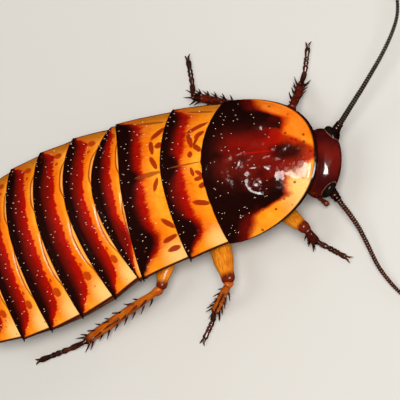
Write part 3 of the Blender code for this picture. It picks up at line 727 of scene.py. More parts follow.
MESONOTUM_MARKS = [((0.431, 0.514), (0.139, 0.625), 0.041), ((0.417, 0.444), (0.306, 0.292), 0.049),
                   ((0.24, 0.42), (0.13, 0.47), 0.041), ((0.24, 0.3), (0.2, 0.42), 0.035),
                   ((0.24, 0.27), (0.1, 0.2), 0.041), ((0.319, 0.147), (0.3, 0.147), 0.046),
                   ((0.28, -0.08), (0.26, -0.12), 0.041), ((0.172, -0.111), (0.061, -0.16), 0.032),
                   ((0.22, -0.2), (0.06, -0.19), 0.030), ((0.16, -0.3), (0.05, -0.28), 0.032),
                   ((0.375, -0.472), (0.083, -0.514), 0.035)]
MESONOTUM_LINES = [((0.778, 0.017), (0.083, 0.017), 0.012), ((0.6, 0.88), (0.1, 0.84), 0.016)]

# Each plate: where amber turns red in the middle and how far that moves back at the sides, where black
# begins, the bulges of the black and of the red border, marks, thin lines, the softness of the red
# border, and its rough patches
PLATE_PAINT = {
    "mesonotum": (0.47, 0.05, 0.82, ((0.05, 0.2, 0.2), (-0.74, 0.2, 0.27), (-0.36, 0.3, -0.1)),
                  ((-0.74, 0.22, 0.1), (0.06, 0.12, -0.06)), MESONOTUM_MARKS, MESONOTUM_LINES, 0.07,
                  ((0.3, -0.3, 0.2), (0.25, 0.35, 0.15))),
    "metanotum": (0.47, 0.05, 0.76, ((0.03, 0.14, 0.16), (-0.7, 0.22, 0.22), (-0.3, 0.25, -0.04)),
                  ((-0.7, 0.2, 0.1), (0.03, 0.1, 0.04)), METANOTUM_MARKS, METANOTUM_LINES, 0.07,
                  ((0.67, -0.46, 0.16), (0.2, -0.33, 0.14))),
    "tergite_1": (0.33, 0.1, 0.72, ((0.0, 0.5, -0.02), (0.0, 0.2, 0.02)),
                  ((-0.6, 0.3, 0.3), (0.9, 0.3, 0.1)), TERGITE_MARKS, [], 0.035, ((0.2, -0.4, 0.12),)),
}
TERGITE_PAINT = (0.33, 0.14, 0.8, ((0.0, 0.4, 0.03), (0.6, 0.3, 0.03)), ((-0.5, 0.3, 0.02), (0.3, 0.3, 0.02)),
                 TERGITE_MARKS, [], 0.03, ((0.24, -0.42, 0.16),))

# %% Make the plates
for i in range(1, len(PLATE_NAMES)):
    name, front = PLATE_NAMES[i], PLATE_NAMES[i - 1]
    relief = thorax_relief(i * 1.7 - 1.3) if name.endswith("notum") else groove_relief(i * 1.7)
    back_plate(name, front, relief, plate_finish(f"{name}_horn", *PLATE_PAINT.get(name, TERGITE_PAINT)))

# %% [markdown]
# ## The shield
# The shield over the head is the darkest plate, a black-red field with two lobes ahead and an amber
# band round its front. It is one sheet over a rounded outline. Rows of points run from its hind edge to
# its front rim, so they follow the outline by themselves and the rim can roll under all the way round.

# %% Shape of the shield
SHIELD_LENGTH = 13.5
SHIELD_FRONT = 7.3
SHIELD_ACROSS = 2.32
SHIELD_ALONG = 1.75
SHIELD_WIDEST = 0.992
SHIELD_RIM_AT = 0.95
SHIELD_LIP_AT = 0.03

# Humps and dents: place ahead, place across and width, and how high a hump rises
SHIELD_HUMPS = ((0.36, 0.5, 0.16, 0.2), (0.36, -0.52, 0.16, 0.2),
                (0.3, 0.0, 0.2, 0.15), (0.75, 0.03, 0.1, -0.18))
SHIELD_DENTS = ((0.5, -0.33, 0.19), (0.53, 0.33, 0.13))
DENT_RIM = 0.2
DENT_FLOOR = 0.4
FOLD_SIZE = 1.5
FOLD_HIGH = 0.17
SHIELD_GUTTER = 0.09


def shield_top(ahead, side):
    """Height of the shield over a point ahead of its hind edge, and how near its rim that is."""
    half = PLATES["pronotum"][1]
    reach = min((max(ahead, 0.0) / SHIELD_LENGTH) ** SHIELD_ALONG + (abs(side) / half) ** SHIELD_ACROSS, 1.0)
    rim = mix(EDGE_HEIGHT, SHIELD_FRONT, (max(ahead, 0.0) / SHIELD_LENGTH) ** 2)
    return rim + CREST_RISE * (1 - reach ** (ARCH_POWER / SHIELD_ACROSS)) ** ARCH_ROUND, reach


def shield_spot(along, across):
    """A point of the shield: along runs from the hind edge to the front rim."""
    s = closer(clamp(2 * across - 1, -1.0, 1.0)) * SHIELD_WIDEST
    p = (along - SHIELD_LIP_AT) / (SHIELD_RIM_AT - SHIELD_LIP_AT)
    side = s * PLATES["pronotum"][1]
    length = SHIELD_LENGTH * (1 - abs(s) ** SHIELD_ACROSS) ** (1 / SHIELD_ALONG)
    height, reach = shield_top(p * length, side)
    ahead = p * length / SHIELD_LENGTH
    for centre, flank, width, rise in SHIELD_HUMPS:
        height += rise * math.exp(-(((ahead - centre) * 1.4) ** 2 + (s - flank) ** 2) / width ** 2)
    for centre, flank, width in SHIELD_DENTS:
        away = math.hypot((ahead - centre) * 1.46, s - flank) / width
        height += DENT_RIM * bell(away, 1.0, 0.4) - DENT_FLOOR * math.exp(-(away / 0.6) ** 2)
    folds = noise.noise(Vector((ahead * SHIELD_LENGTH, side, 3.0)) / FOLD_SIZE)
    crumpled = clamp((0.85 - ahead) * 5) * (0.25 + 0.75 * bell(s, -0.25, 0.4))
    height += FOLD_HIGH * (0.5 - 2 * abs(folds)) * (1 - reach) ** 0.5 * crumpled
    height -= SHIELD_GUTTER * bell(reach, 0.92, 0.035)
    return place(-p * length, side, height)


def shield_lie(along, across):
    """Where a point lies: its share of the shield's whole length ahead, and its share across."""
    s = closer(2 * across - 1) * SHIELD_WIDEST
    p = clamp((along - SHIELD_LIP_AT) / (SHIELD_RIM_AT - SHIELD_LIP_AT), -0.05, 1.05)
    return p * (1 - min(abs(s), 1.0) ** SHIELD_ACROSS) ** (1 / SHIELD_ALONG), s


# %% Finish of the shield
def shield_finish():
    """A black-red field with two lobes, a red bay between them and an amber band outside."""
    finish = Finish("shield_horn", coat_roughness=0.08, coat_ior=1.8, specular_ior_level=0.1)
    ahead, across, lie = finish.pattern_map()
    wide = abs(across)
    ragged = finish.uneven(4.0, 4.0, lie, (1.6, 1.1, 1.0))
    broad = finish.uneven(3.0, 2.0, lie)
    mottle = finish.noise(330.0, 4.0)
    blurred = across + ragged * 0.16 + broad * 0.1

    # The bay between the lobes, and the ragged border between field and amber
    from_rim = (1.0 - wide ** SHIELD_ACROSS) ** (1 / SHIELD_ALONG) - ahead
    needed = finish.most(across - 0.08, (across + 0.1) * -1.6)
    bay = (from_rim - needed + ragged * 0.12).rise(-0.03, 0.08) * wide.rise(0.5, 0.36)
    front = wide.rise(1.0, 0.72) * 0.14 + wide.rise(0.76, 0.5) * 0.36 + 0.2
    front = front - bay * 0.03 + across.rise(0.55, 0.75) * 0.08 + ragged * 0.1 + broad * 0.05
    past = ahead - front

    lower_bay = abs(blurred + 0.17).rise(0.22, 0.05) * (ahead + ragged * 0.1).rise(1.0, 0.84)
    amber = finish.over(
        AMBER,
        (mottle.rise(0.35, 0.7), AMBER_PALE),
        (blurred.rise(0.02, 0.3) * 0.55, DEEP_AMBER),
        # Paler cream on the right front: a painted highlight
        (across.rise(-0.15, -0.45) * ahead.rise(0.55, 0.85) * 0.8, PAINTED_HIGHLIGHT_CREAM),
        (past.rise(0.07, 0.0) * 0.9, RED),
        (bay * 0.94, RED),
        (lower_bay * 0.8, DEEP_RED))
    middle = abs(blurred - 0.04).rise(0.55, 0.12) * ahead.rise(0.03, 0.25) * ahead.rise(0.8, 0.6)
    field = finish.over(
        BLACK_RED,
        (middle * (broad + ragged * 0.5).rise(-0.3, 0.15) * 0.85, FIELD_RED),
        (abs(blurred - 0.16).rise(0.24, 0.0) * abs(ahead - 0.42).rise(0.3, 0.1) * 0.5,
         VEIN_RED),
        (past.rise(-0.16, -0.02) * wide.rise(0.62, 0.8) * 0.8, DEEP_RED),
        (broad.rise(0.02, 0.2) * ahead.rise(0.1, 0.25) * 0.35, DEEP_RED))
    spot, aside = (ahead - 0.76) * (1 / 0.15), (blurred - 0.035) * (1 / 0.13)
    keel = abs(across - 0.05).rise(0.014, 0.006) * ahead.rise(0.68, 0.55) * ahead.rise(0.25, 0.45)
    base = finish.over(
        field,
        (past.rise(bay * -0.2 - 0.03, bay * 0.1 + 0.02), amber),
        ((spot * spot + aside * aside + ragged * 1.6).rise(1.9, 0.1) * 0.95, BLACK_RED),
        (keel * 0.75, RED),
        (finish.cells(1000.0).rise(0.22, 0.14) * past.rise(0.0, 0.06) * 0.8, DEEP_RED),
        (ahead.rise(0.035, 0.0), BLACK_RED),
        (from_rim.rise(0.033, 0.012), BLACK_RED))
    ridges = 1.0 - abs(finish.noise(750.0, 1.5) - 0.5) * 4.0
    folded = abs(across + 0.22).rise(0.5, 0.25) * abs(ahead - 0.52).rise(0.42, 0.32)
    return horn_skin(finish, base, 0.13, mottle, 0.4, ridges * (folded * 0.6 + 0.08))


shield_round = lipped(shield_spot, RIM_RADIUS, low=SHIELD_LIP_AT, high=SHIELD_RIM_AT, axis=0)
shield = sheet(90, 130, shield_round, shield_lie)
add_piece("pronotum_shell", face_up(shield), [shield_finish()], ["pronotum"], PLATE_WALL)

# %% [markdown]
# ## Smooth lines for long pieces
# Feelers, legs and spines follow curved lines. A curve is passed through a few measured points, and a
# balloon is drawn over it, with its thickness given at some shares of its length.

# %% Lines and limbs
LINE_STEP = 0.08
CURVE_PARTS = 24
UP = Vector((0, 0, 1))


def smooth_course(points, step):
    """Points at equal steps along a smooth curve through the given ones."""
    stops = [Vector(p) for p in points]
    stops = [stops[0] * 2 - stops[1]] + stops + [stops[-1] * 2 - stops[-2]]
    fine = []
    for a, b, c, d in zip(stops, stops[1:], stops[2:], stops[3:]):
        for t in np.arange(CURVE_PARTS) / CURVE_PARTS:
            fine.append(0.5 * (2 * b + (c - a) * t + (2 * a - 5 * b + 4 * c - d) * t * t
                               + (3 * b - a - 3 * c + d) * t ** 3))
    fine.append(stops[-2])
    lengths = np.cumsum([0] + [(q - p).length for p, q in zip(fine, fine[1:])])
    wanted = np.arange(0, lengths[-1], step)
    axes = [np.interp(wanted, lengths, [p[i] for p in fine]) for i in range(3)]
    return [Vector(p) for p in zip(*axes)]


def follow(points):
    """A function from a share of a curve to the place there and its direction."""
    line = np.array(smooth_course(points, LINE_STEP))
    shares = np.linspace(0.0, 1.0, len(line))

    def at(share):
        spot, before, after = (Vector([np.interp(s, shares, line[:, i]) for i in range(3)])
                               for s in (share, share - 0.01, share + 0.01))
        return spot, (after - before).normalized()
    at.length = LINE_STEP * (len(line) - 1)
    return at


def thickness(*stops):
    """A smooth run of thickness through pairs of share and size."""
    def at(share):
        for (a, low), (b, high) in zip(stops, stops[1:]):
            if share <= b:
                part = clamp((share - a) / (b - a))
                return mix(low, high, part * part * (3 - 2 * part))
        return stops[-1][1]
    return at


def limb(line, wide, along, around, hint=UP, cap=0.04, shape=None, deep=None, tone=0):
    """A balloon along a line; hint is the direction in which wide is measured, deep goes across it."""
    hint = Vector(hint)
    deep = deep or wide

    def spot(share, turn):
        centre, ahead = line(share)
        first = (hint - ahead * hint.dot(ahead)).normalized()
        end = min(share, 1 - share) / cap
        taper = math.sqrt(max(1 - (1 - min(end, 1.0)) ** 2, 0.0))
        return (centre + first * (wide(share) * taper * cos(turn))
                + ahead.cross(first) * (deep(share) * taper * sin(turn)))
    return balloon(along, around, spot, shape, tone)


print("lines and limbs ready")

# %% [markdown]
# ## Body under the plates
# Between the back plates and the belly is the soft body wall, dark and leathery. One closed balloon
# fills the space, so that no view looks into an empty shell. Below it lie the belly plates: broad shells
# whose hind edges each overlap the next, like tiles.

# %% Leathery finish and the trunk
BELLY_BOTTOM = 2.9
THORAX_BOTTOM = 4.6
BELLY_TAIL_RISE = 1.6
BELLY_RISE_FROM = 26.0
BELLY_RISE_LENGTH = 19.0
TRUNK_ENDS = (-9.5, 45.3)
TRUNK_WIDTH = 0.93
TRUNK_DROP = 1.0
TRUNK_WAIST = 2.4


def plate_run(station, column):
    """One of the plates' sizes at any station, between those of its neighbours."""
    plates = list(PLATES.values())
    return float(np.interp(station, [plate[0] for plate in plates], [plate[column] for plate in plates]))


def half_width(station):
    """Half the body's width: the shield's ahead of station 0, the plates' behind it."""
    if station < 0:
        return PLATES["pronotum"][1] * (1 - (-station / SHIELD_LENGTH) ** SHIELD_ALONG) ** (1 / SHIELD_ACROSS)
    return plate_run(station, 1)


def belly_bottom(station):
    return BELLY_BOTTOM + BELLY_TAIL_RISE * max((station - BELLY_RISE_FROM) / BELLY_RISE_LENGTH, 0.0) ** 2


def leather_finish(name, dark, light):
    finish = Finish(name)
    folds = finish.noise(500.0, 3.0)
    finish.bump(folds + finish.cells(1500.0) * 0.3, 0.35, 0.0003)
    base = finish.blend(finish.noise(260.0, 4.0).rise(0.3, 0.7), dark, light)
    return finish.set(base_color=base, roughness=folds.rise(0.2, 0.8) * 0.2 + 0.38)


def crest_over(station, side):
    """Height of the back's arch over a place inside the body."""
    if station < 0:
        return shield_top(-station, side)[0]
    share = min(abs(side) / half_width(station), 1.0)
    return plate_run(station, 3) + plate_run(station, 4) * (1 - share ** ARCH_POWER) ** ARCH_ROUND


def trunk_spot(share, turn):
    """The trunk follows the arch from below and is rounded underneath."""
    station = mix(*TRUNK_ENDS, (1 - cos(pi * share)) / 2)
    narrow = clamp(sin(pi * share) * 2.4) ** 0.5
    fore = clamp((station - TRUNK_ENDS[0]) / 9.0)
    half = half_width(station) * TRUNK_WIDTH * mix(0.8, 1.0, fore) * narrow
    side = half * cos(turn)
    waist = belly_bottom(station) + TRUNK_WAIST
    if sin(turn) < 0:
        bottom = mix(THORAX_BOTTOM + 0.3, belly_bottom(station) + 0.65, clamp((station - 12.0) / 4.0))
        return place(station, side, waist + (waist - bottom) * narrow * sin(turn))
    top = crest_over(station, side) - TRUNK_DROP
    return place(station, side, mix(waist, max(top, waist), narrow * clamp(sin(turn) * 4.0)))


trunk_skin = leather_finish("trunk_skin", (0.012, 0.003, 0.002), (0.05, 0.013, 0.006))
chest_skin = leather_finish("chest_skin", (0.055, 0.017, 0.007), (0.17, 0.055, 0.02))
add_piece("trunk_wall", balloon(90, 56, trunk_spot), [trunk_skin], ["neck"])

# %% Belly plates and chest
STERNITES = {
    "sternite_2": (14.2, 18.6),
    "sternite_3": (18.9, 23.1),
    "sternite_4": (23.4, 27.6),
    "sternite_5": (27.9, 32.1),
    "sternite_6": (32.4, 36.6),
    "sternite_7": (36.9, 45.2),
}
CHEST = {
    "prosternum": (-7.4, -0.75),
    "mesosternum": (-0.45, 6.35),
    "metasternum": (6.65, 13.9),
}
BELLY_LIP = 0.14
BELLY_OVERLAP = 1.1
BELLY_INSET = 0.35
BELLY_EDGE = 5.25
BELLY_CURVE = 3.2
TAIL_CURL = 0.9
BELLY_BROWN = (0.28, 0.075, 0.012)
BELLY_AMBER = (0.42, 0.14, 0.025)
BELLY_BAND = (0.045, 0.01, 0.005)
BELLY_FLANK = (0.06, 0.01, 0.005)
HOLE_BROWN = (0.05, 0.012, 0.006)


def belly_finish():
    """Brown amber with a dark hind band, dark flanks and the marks of the breathing holes."""
    finish = Finish("belly_horn", coat_roughness=0.2)
    along, across, lie = finish.pattern_map()
    wide = abs(across)
    mottle = finish.noise(240.0, 4.0)
    ragged = finish.uneven(5.0, 3.0, lie, (1.5, 3.0, 1.0))
    holes = mark((wide, along), (0.7, 0.3), (0.7, 0.34), 0.03, ragged)
    base = finish.over(
        BELLY_BROWN,
        (mottle.rise(0.3, 0.7), BELLY_AMBER),
        ((along + ragged * 0.2).rise(0.72, 0.95) * 0.85, BELLY_BAND),
        (wide.rise(0.8, 0.95) * 0.85, BELLY_FLANK),
        (holes * 0.8, HOLE_BROWN))
    finish.bump(finish.noise(380.0, 2.0), 0.45, 0.0002)
    return finish.set(base_color=base, roughness=mottle.rise(0.2, 0.8) * 0.15 + 0.25, coat_weight=0.3)


def belly_plate(name, ends, finish, bottom, width):
    last = name == "sternite_7"

    def outer(along, across):
        s = side_share(across)
        t = along / LIP_SHARE
        tail = math.sqrt(max(1 - s * s * 0.96, 0.0))
        hind = mix(ends[0] + 1.5, ends[1], tail) if last else ends[1]
        station = mix(ends[0] - BELLY_OVERLAP * (1 - abs(s)), hind, t)
        half = (half_width(max(station, 0.0)) - BELLY_INSET) * width
        low = bottom(station) - 0.1 * t + 0.16 * (1 - t) + (TAIL_CURL * clamp(t) ** 4 if last else 0.0)
        return place(station, s * half, low + (BELLY_EDGE - low) * abs(s) ** BELLY_CURVE)

    rim = lipped(outer, LIP_RADIUS, low=RIM_SHARE, high=1 - RIM_SHARE, axis=1)
    shape = sheet(28, 70, rim, lambda along, across: (along / LIP_SHARE, side_share(across)))
    face_up(shape)
    bmesh.ops.reverse_faces(shape, faces=shape.faces[:])
    add_piece(f"{name}_shell", shape, [finish], [name], BELLY_LIP)


belly_horn = belly_finish()
for name, ends in STERNITES.items():
    belly_plate(name, ends, belly_horn, belly_bottom, 1.0)
for name, ends in CHEST.items():
    belly_plate(name, ends, chest_skin, lambda station: THORAX_BOTTOM, 0.74)

# %% Lobes under the tail plate
LOBE_AT = 44.6
LOBE_SIDE = 2.1
LOBE_HEIGHT = 6.35
LOBE_SIZE = (1.5, 2.3, 1.15)


def tail_lobes():
    """Two rounded lobes that close the body behind, between the last plates of back and belly."""
    shape = bmesh.new()
    for flank in (-1, 1):
        balloon(24, 28, lambda share, turn: place(
            LOBE_AT - cos(pi * share) * LOBE_SIZE[0],
            flank * LOBE_SIDE + sin(pi * share) * cos(turn) * LOBE_SIZE[1],
            LOBE_HEIGHT + sin(pi * share) * sin(turn) * LOBE_SIZE[2]), shape)
    return shape


add_piece("tail_lobes", tail_lobes(), [trunk_skin])

# %% [markdown]
# ## The head
# The head hangs below the shield with its face down and ahead. From above only the crown shows: a
# smooth dark red capsule, with the eyes at its corners and the feelers' sockets under them. It is one
# balloon whose poles are the jaw and the crown, pressed in where the sockets and the face's seams run.

# %% Frame of the head
HEAD_CENTRE = (-11.85, -0.5, 3.6)
HEAD_TURN = -6.0
FACE_SLOPE = 44.0
HEAD_SIZE = (4.35, 2.3, 3.4)
JAW_CUT = -0.82
HEAD_SQUARE = 0.88
CROWN_AHEAD = 0.85
EYE_PLACE = (3.08, 0.95, 1.45)
EYE_SIZE = (0.74, 1.5, 1.3)
EYE_TURN = 66.0
SOCKET_PLACE = (2.6, 1.75, -0.5)
CROWN_END = 0.985
JAW_END = -0.76
CLYPEUS_AT = 0.3
DENT_WIDTH = 0.75
DENT_DEEP = 0.3
SEAM_DEEP = 0.07
SEAM_LEVEL = -1.75
SUTURE_DEEP = 0.05


def head_frame():
    heading = float(np.interp(HEAD_CENTRE[0], COURSE[0], COURSE[3])) + math.radians(HEAD_TURN)
    ahead = Vector((cos(heading), sin(heading), 0))
    left = Vector((-sin(heading), cos(heading), 0))
    slope = math.radians(FACE_SLOPE)
    face = ahead * cos(slope) - Vector((0, 0, sin(slope)))
    crown = ahead * sin(slope) + Vector((0, 0, cos(slope)))
    return place(*HEAD_CENTRE), left, face, crown


HEAD = head_frame()


FLANKS = ((1, "left"), (-1, "right"))


def on_head(left_by, face_by, crown_by):
    centre, left, face, crown = HEAD
    return centre + left * left_by + face * face_by + crown * crown_by


def head_half(share):
    """Half width and half depth of the head at a share from jaw (-1) to crown (1)."""
    round_off = max(1 - abs(share) ** 2.4, 0.0) ** 0.5
    chin = max(-share, 0.0)
    return HEAD_SIZE[0] * round_off * (1 - 0.25 * chin), HEAD_SIZE[1] * round_off * (1 - 0.15 * chin)


def head_spot(share, turn):
    """The capsule, with dents at the sockets and a seam over the upper lip."""
    level = mix(JAW_END, CROWN_END, (1 - cos(pi * share)) / 2)
    wide, deep = head_half(level)
    close = clamp(sin(pi * share) * 3.0)
    side = wide * math.copysign(abs(cos(turn)) ** HEAD_SQUARE, cos(turn)) * close
    out = deep * math.copysign(abs(sin(turn)) ** HEAD_SQUARE, sin(turn)) * close
    up = level * HEAD_SIZE[2]
    sunk = 0.0
    for flank in (-1, 1):
        from_socket = math.hypot(side - flank * SOCKET_PLACE[0], up - SOCKET_PLACE[2])
        sunk += DENT_DEEP * bell(from_socket, 0.0, DENT_WIDTH)
    sunk += SEAM_DEEP * bell(up, SEAM_LEVEL + 0.08 * side * side, 0.12)
    suture = bell(abs(side), 0.55 + 0.25 * max(0.4 - up, 0.0), 0.1) * clamp((1.6 - up) / 2.0)
    sunk += SUTURE_DEEP * suture
    return on_head(side, out - (sunk if out > 0 else 0.0) + CROWN_AHEAD * max(level, 0.0) ** 2, up)


# %% Finish of the head and its parts
HEAD_BLACK = (0.035, 0.003, 0.003)
HEAD_RED = (0.13, 0.007, 0.004)
FACE_RED = (0.14, 0.008, 0.004)
# Painted shade on the head's left flank
PAINTED_SHADE_BLACK = (0.02, 0.002, 0.003)
LIP_BROWN = (0.26, 0.06, 0.012)
SEAM_BROWN = (0.3, 0.04, 0.012)
FLECK_RED = (0.2, 0.01, 0.005)
EYE_BLACK = (0.002, 0.0015, 0.0015)
EYE_DEPTH = (0.008, 0.005, 0.004)
EYE_MESH = (0.014, 0.009, 0.007)


def head_finish():
    """A dark red crown, a redder face with its seams, and the left flank darkened nearly to black as painted
    shade.
    """
    finish = Finish("head_horn", coat_roughness=0.12, coat_ior=2.0, specular_ior_level=0.05)
    share, turn, _ = finish.pattern_map()
    mottle = finish.noise(320.0, 4.0)
    broad = finish.noise(180.0, 2.0)
    turned = turn * (2 * pi)
    to_left = finish.sum_up("SINE", share * pi, 0.0) * finish.sum_up("COSINE", turned, 0.0)
    outward = abs(to_left)
    on_face = finish.sum_up("SINE", turned, 0.0).rise(0.05, 0.3)
    seam = abs(share + outward * 0.42 - 0.66).rise(0.012, 0.004) * outward.rise(0.5, 0.42)
    base = finish.over(
        HEAD_BLACK,
        (broad.rise(0.35, 0.65), HEAD_RED),
        (share.rise(0.75, 0.5) * 0.5, FACE_RED),
        # The left flank is darkened nearly to black: painted shade
        ((to_left + (broad - 0.5) * 0.5).rise(0.2, 0.75) * 0.9, PAINTED_SHADE_BLACK),
        (share.rise(CLYPEUS_AT, CLYPEUS_AT - 0.03) * on_face * 0.85, LIP_BROWN),
        (abs(share - CLYPEUS_AT).rise(0.012, 0.004) * on_face * 0.9, BLACK_RED),
        (seam * on_face * 0.7, SEAM_BROWN),
        (mottle.rise(0.5, 0.8) * 0.35, FLECK_RED))
    pits = finish.least(finish.cells(2200.0), 0.4)
    finish.bump(finish.noise(500.0, 2.0) + pits * 0.3, 0.4, 0.00018)
    return finish.set(base_color=base, roughness=mottle.rise(0.3, 0.7) * 0.1 + 0.17,
                      coat_weight=mottle.rise(0.2, 0.6) * 0.2 + 0.4)


def eye_finish():
    """Black, with the fine mesh of the facets and a faint blue-brown depth."""
    finish = Finish("eye_facets", coat_roughness=0.03, coat_weight=0.25, roughness=0.3,
                    specular_ior_level=0.0)
    facets = finish.cells(7000.0, randomness=0.15)
    finish.bump(1.0 - facets, 0.15, 0.00006)
    return finish.set(base_color=finish.over(
        EYE_BLACK,
        (finish.noise(600.0, 2.0).rise(0.35, 0.7), EYE_DEPTH),
        (facets.rise(0.4, 0.6) * 0.4, EYE_MESH)))


def tone_finish(name, dark, light, roughness, bands=0.0):
    """A mottled horny finish between two tones; where bands is given, the light tone lies only on the crest
    of each ring, as a painted highlight.
    """
    finish = Finish(name, coat_roughness=0.1, coat_ior=1.9, specular_ior_level=0.05 if bands else 0.3)
    mottle = finish.noise(480.0, 4.0)
    tone = mottle.rise(0.3, 0.7)
    coat = tone * 0.4 + 0.15
    if bands:
        along = finish.pattern_map()[0]
        crest = 0.5 - finish.sum_up("COSINE", along * (bands * 2 * pi), 0.0) * 0.5
        # Only each ring's crest gets the light tone: a painted highlight for the ring's glint
        tone = crest.rise(0.7, 1.0) * (tone * 0.3 + 0.7)
        coat = tone * 0.9
    finish.bump(mottle + finish.cells(2400.0) * 0.3, 0.2 if bands else 0.45, 0.00015)
    return finish.set(base_color=finish.blend(tone, dark, light), coat_weight=coat,
                      roughness=mottle.rise(0.2, 0.8) * 0.16 + roughness)


head_horn = head_finish()
eye_glass = eye_finish()
mouth_horn = tone_finish("mouth_horn", (0.05, 0.007, 0.004), (0.17, 0.03, 0.01), 0.2)
eye_ring = tone_finish("eye_ring", (0.1, 0.02, 0.01), (0.32, 0.12, 0.05), 0.3)
spot_skin = tone_finish("ocellar_spot", (0.3, 0.1, 0.03), (0.5, 0.24, 0.08), 0.35)

# %% Head, eyes and mouth
EYE_KIDNEY = 0.3
RING_THICK = 0.05
RING_BAND = 0.13
RING_SUNK = 0.1
MARCH_STEPS = 60
OCELLUS_PLACE = (1.75, 2.1, 0.55)
OCELLUS_SIZE = (0.3, 0.34, 0.18)


def in_head(point):
    """Whether a point lies inside the head's capsule."""
    centre, left, face, crown = HEAD
    away = point - centre
    level = away.dot(crown) / HEAD_SIZE[2]
    if not -1 < level < 1:
        return False
    wide, deep = head_half(level)
    out = away.dot(face) - CROWN_AHEAD * max(level, 0.0) ** 2
    power = 2 / HEAD_SQUARE
    return (abs(away.dot(left)) / wide) ** power + (abs(out) / deep) ** power < 1


def eye_axes(flank):
    """The eye's middle, its way out, its way towards the face's middle and the crown's way."""
    _, left, face, crown = HEAD
    turn_by = math.radians(EYE_TURN)
    out = left * (flank * cos(turn_by)) + face * sin(turn_by)
    through = out.cross(crown)
    if through.dot(face) < 0:
        through.negate()
    return on_head(EYE_PLACE[0] * flank, *EYE_PLACE[1:]), out, through, crown


def eye_point(flank, angle, turn, grow=0.0):
    """A kidney shape round the feeler's socket; angle runs from the outer pole to the inner one."""
    middle, out, through, crown = eye_axes(flank)
    aside, up = sin(angle) * cos(turn), sin(angle) * sin(turn)
    hollow = EYE_KIDNEY * (1 - up * up) * max(aside, 0.0)
    narrow = 1 - 0.16 * max(-up, 0.0)
    depth, width, height = (size + grow for size in EYE_SIZE)
    return (middle + out * (cos(angle) * depth) + through * ((aside * narrow - hollow) * width)
            + crown * (up * height))


def ring_spot(flank):
    """A narrow raised band just where the eye goes into the head."""
    def spot(share, turn):
        for step in range(MARCH_STEPS):
            meets = pi * (step + 1) / MARCH_STEPS
            if in_head(eye_point(flank, meets, turn)):
                break
        angle = mix(meets + RING_BAND, meets - RING_BAND, share) if 0 < share < 1 else pi * (1 - share)
        raised = RING_THICK if abs(share - 0.5) < 0.3 else -RING_SUNK
        return eye_point(flank, angle, turn, raised)
    return spot


add_piece("head_capsule", balloon(80, 96, head_spot), [head_horn], ["head"])
for flank, side in FLANKS:
    facets = balloon(40, 48, lambda share, turn: eye_point(flank, pi * (1 - share), turn))
    add_piece(f"eye_{side}_facets", facets, [eye_glass], [f"eye_{side}"])
    add_piece(f"eye_{side}_ring", balloon(12, 90, ring_spot(flank)), [eye_ring])
    ocellus = on_head(OCELLUS_PLACE[0] * flank, *OCELLUS_PLACE[1:])
    axes = [axis * size for axis, size in zip((HEAD[3], HEAD[1], HEAD[2]), OCELLUS_SIZE)]
    add_piece(f"ocellar_spot_{side}", lump(12, 20, ocellus, *axes), [spot_skin])


# %% Upper lip, jaws and the plates behind them
MOUTH_TOP = JAW_CUT * HEAD_SIZE[2] + 0.25
NOTCH_WIDE = 0.35

# Each part: its points along and around, how square it is, which flank it is on; its place to that
# side, its lean inwards, half width and taper; its place ahead, half depth and slope; its top, its
# length and the depth of the notch in its lower edge
MOUTH = (
    (20, 28, 0.6, 1, 0.0, 0.0, 1.3, 0.0, 1.05, 0.35, 0.2, 0.35, 1.15, 0.16),
    (18, 20, 0.7, -1, 1.25, 0.45, 0.62, 0.4, 0.1, 0.6, 0.0, 0.4, 1.25, 0.0),
    (18, 20, 0.7, 1, 1.25, 0.45, 0.62, 0.4, 0.1, 0.6, 0.0, 0.4, 1.25, 0.0),
    (18, 24, 0.6, 1, 0.0, 0.0, 1.3, 0.3, -0.85, 0.3, 0.0, 0.5, 1.25, 0.0),
)


def mouth_shape():
    """All the parts of the mouth in one mesh."""
    shape = bmesh.new()
    for (along, around, square, flank, aside, lean, wide, taper,
         ahead, deep, slope, top, length, notch) in MOUTH:
        def spot(share, turn):
            level = (1 - cos(pi * share)) / 2
            out = sin(pi * share) ** square
            left_by = flank * (aside - lean * level + wide * out * cos(turn) * (1 - taper * level))
            face_by = ahead + deep * out * sin(turn) - slope * level
            crown_by = MOUTH_TOP + top - length * level + notch * bell(cos(turn), 0.0, NOTCH_WIDE) * level
            return on_head(left_by, face_by, crown_by)
        balloon(along, around, spot, shape)
    return shape


add_piece("mouth_plates", mouth_shape(), [mouth_horn], ["mouthparts"])

# %% [markdown]
# ## Feelers and palps
# A feeler is a chain of more than a hundred tiny rings, each a little wider than the joint after it.
# Each ring catches one glint, which is what makes the feeler look like a string of beads, and a pale
# painted highlight on each ring's crest adds to it. One long balloon carries them: its thickness follows
# a wave with one crest for each ring.

# %% Feelers
ANTENNA = {
    "left": ((-14.0, 2.7, 3.0), (-14.7, 3.15, 4.2), (-16.2, 4.0, 5.2), (-17.9, 5.2, 6.1),
             (-20.9, 7.6, 7.4), (-24.1, 10.9, 8.4), (-26.5, 14.2, 8.9), (-28.3, 18.1, 8.6),
             (-29.4, 22.0, 7.6)),
    "right": ((-13.1, -4.3, 2.5), (-13.9, -5.5, 2.5), (-14.9, -7.1, 2.1), (-15.8, -8.8, 1.7),
              (-16.5, -10.6, 1.3), (-18.0, -14.2, 0.9), (-20.6, -17.6, 0.7), (-24.0, -20.2, 0.6),
              (-28.0, -21.8, 0.55)),
}
ANTENNA_BASE = 0.36
ANTENNA_TIP = 0.17
SCAPE_SIZES = ((0.0, 0.4), (0.12, 0.42), (0.3, 0.5), (0.8, 0.55), (1.0, 0.5))
PEDICEL_SIZES = ((0.0, 0.36), (0.5, 0.5), (1.0, 0.4))
PEDICEL_LENGTH = 0.55
SCAPE_LENGTH = {"left": 3.9, "right": 2.0}
BEAD_PITCH = 0.33
BEAD_SWELL = 0.4
RINGS_PER_BEAD = 8


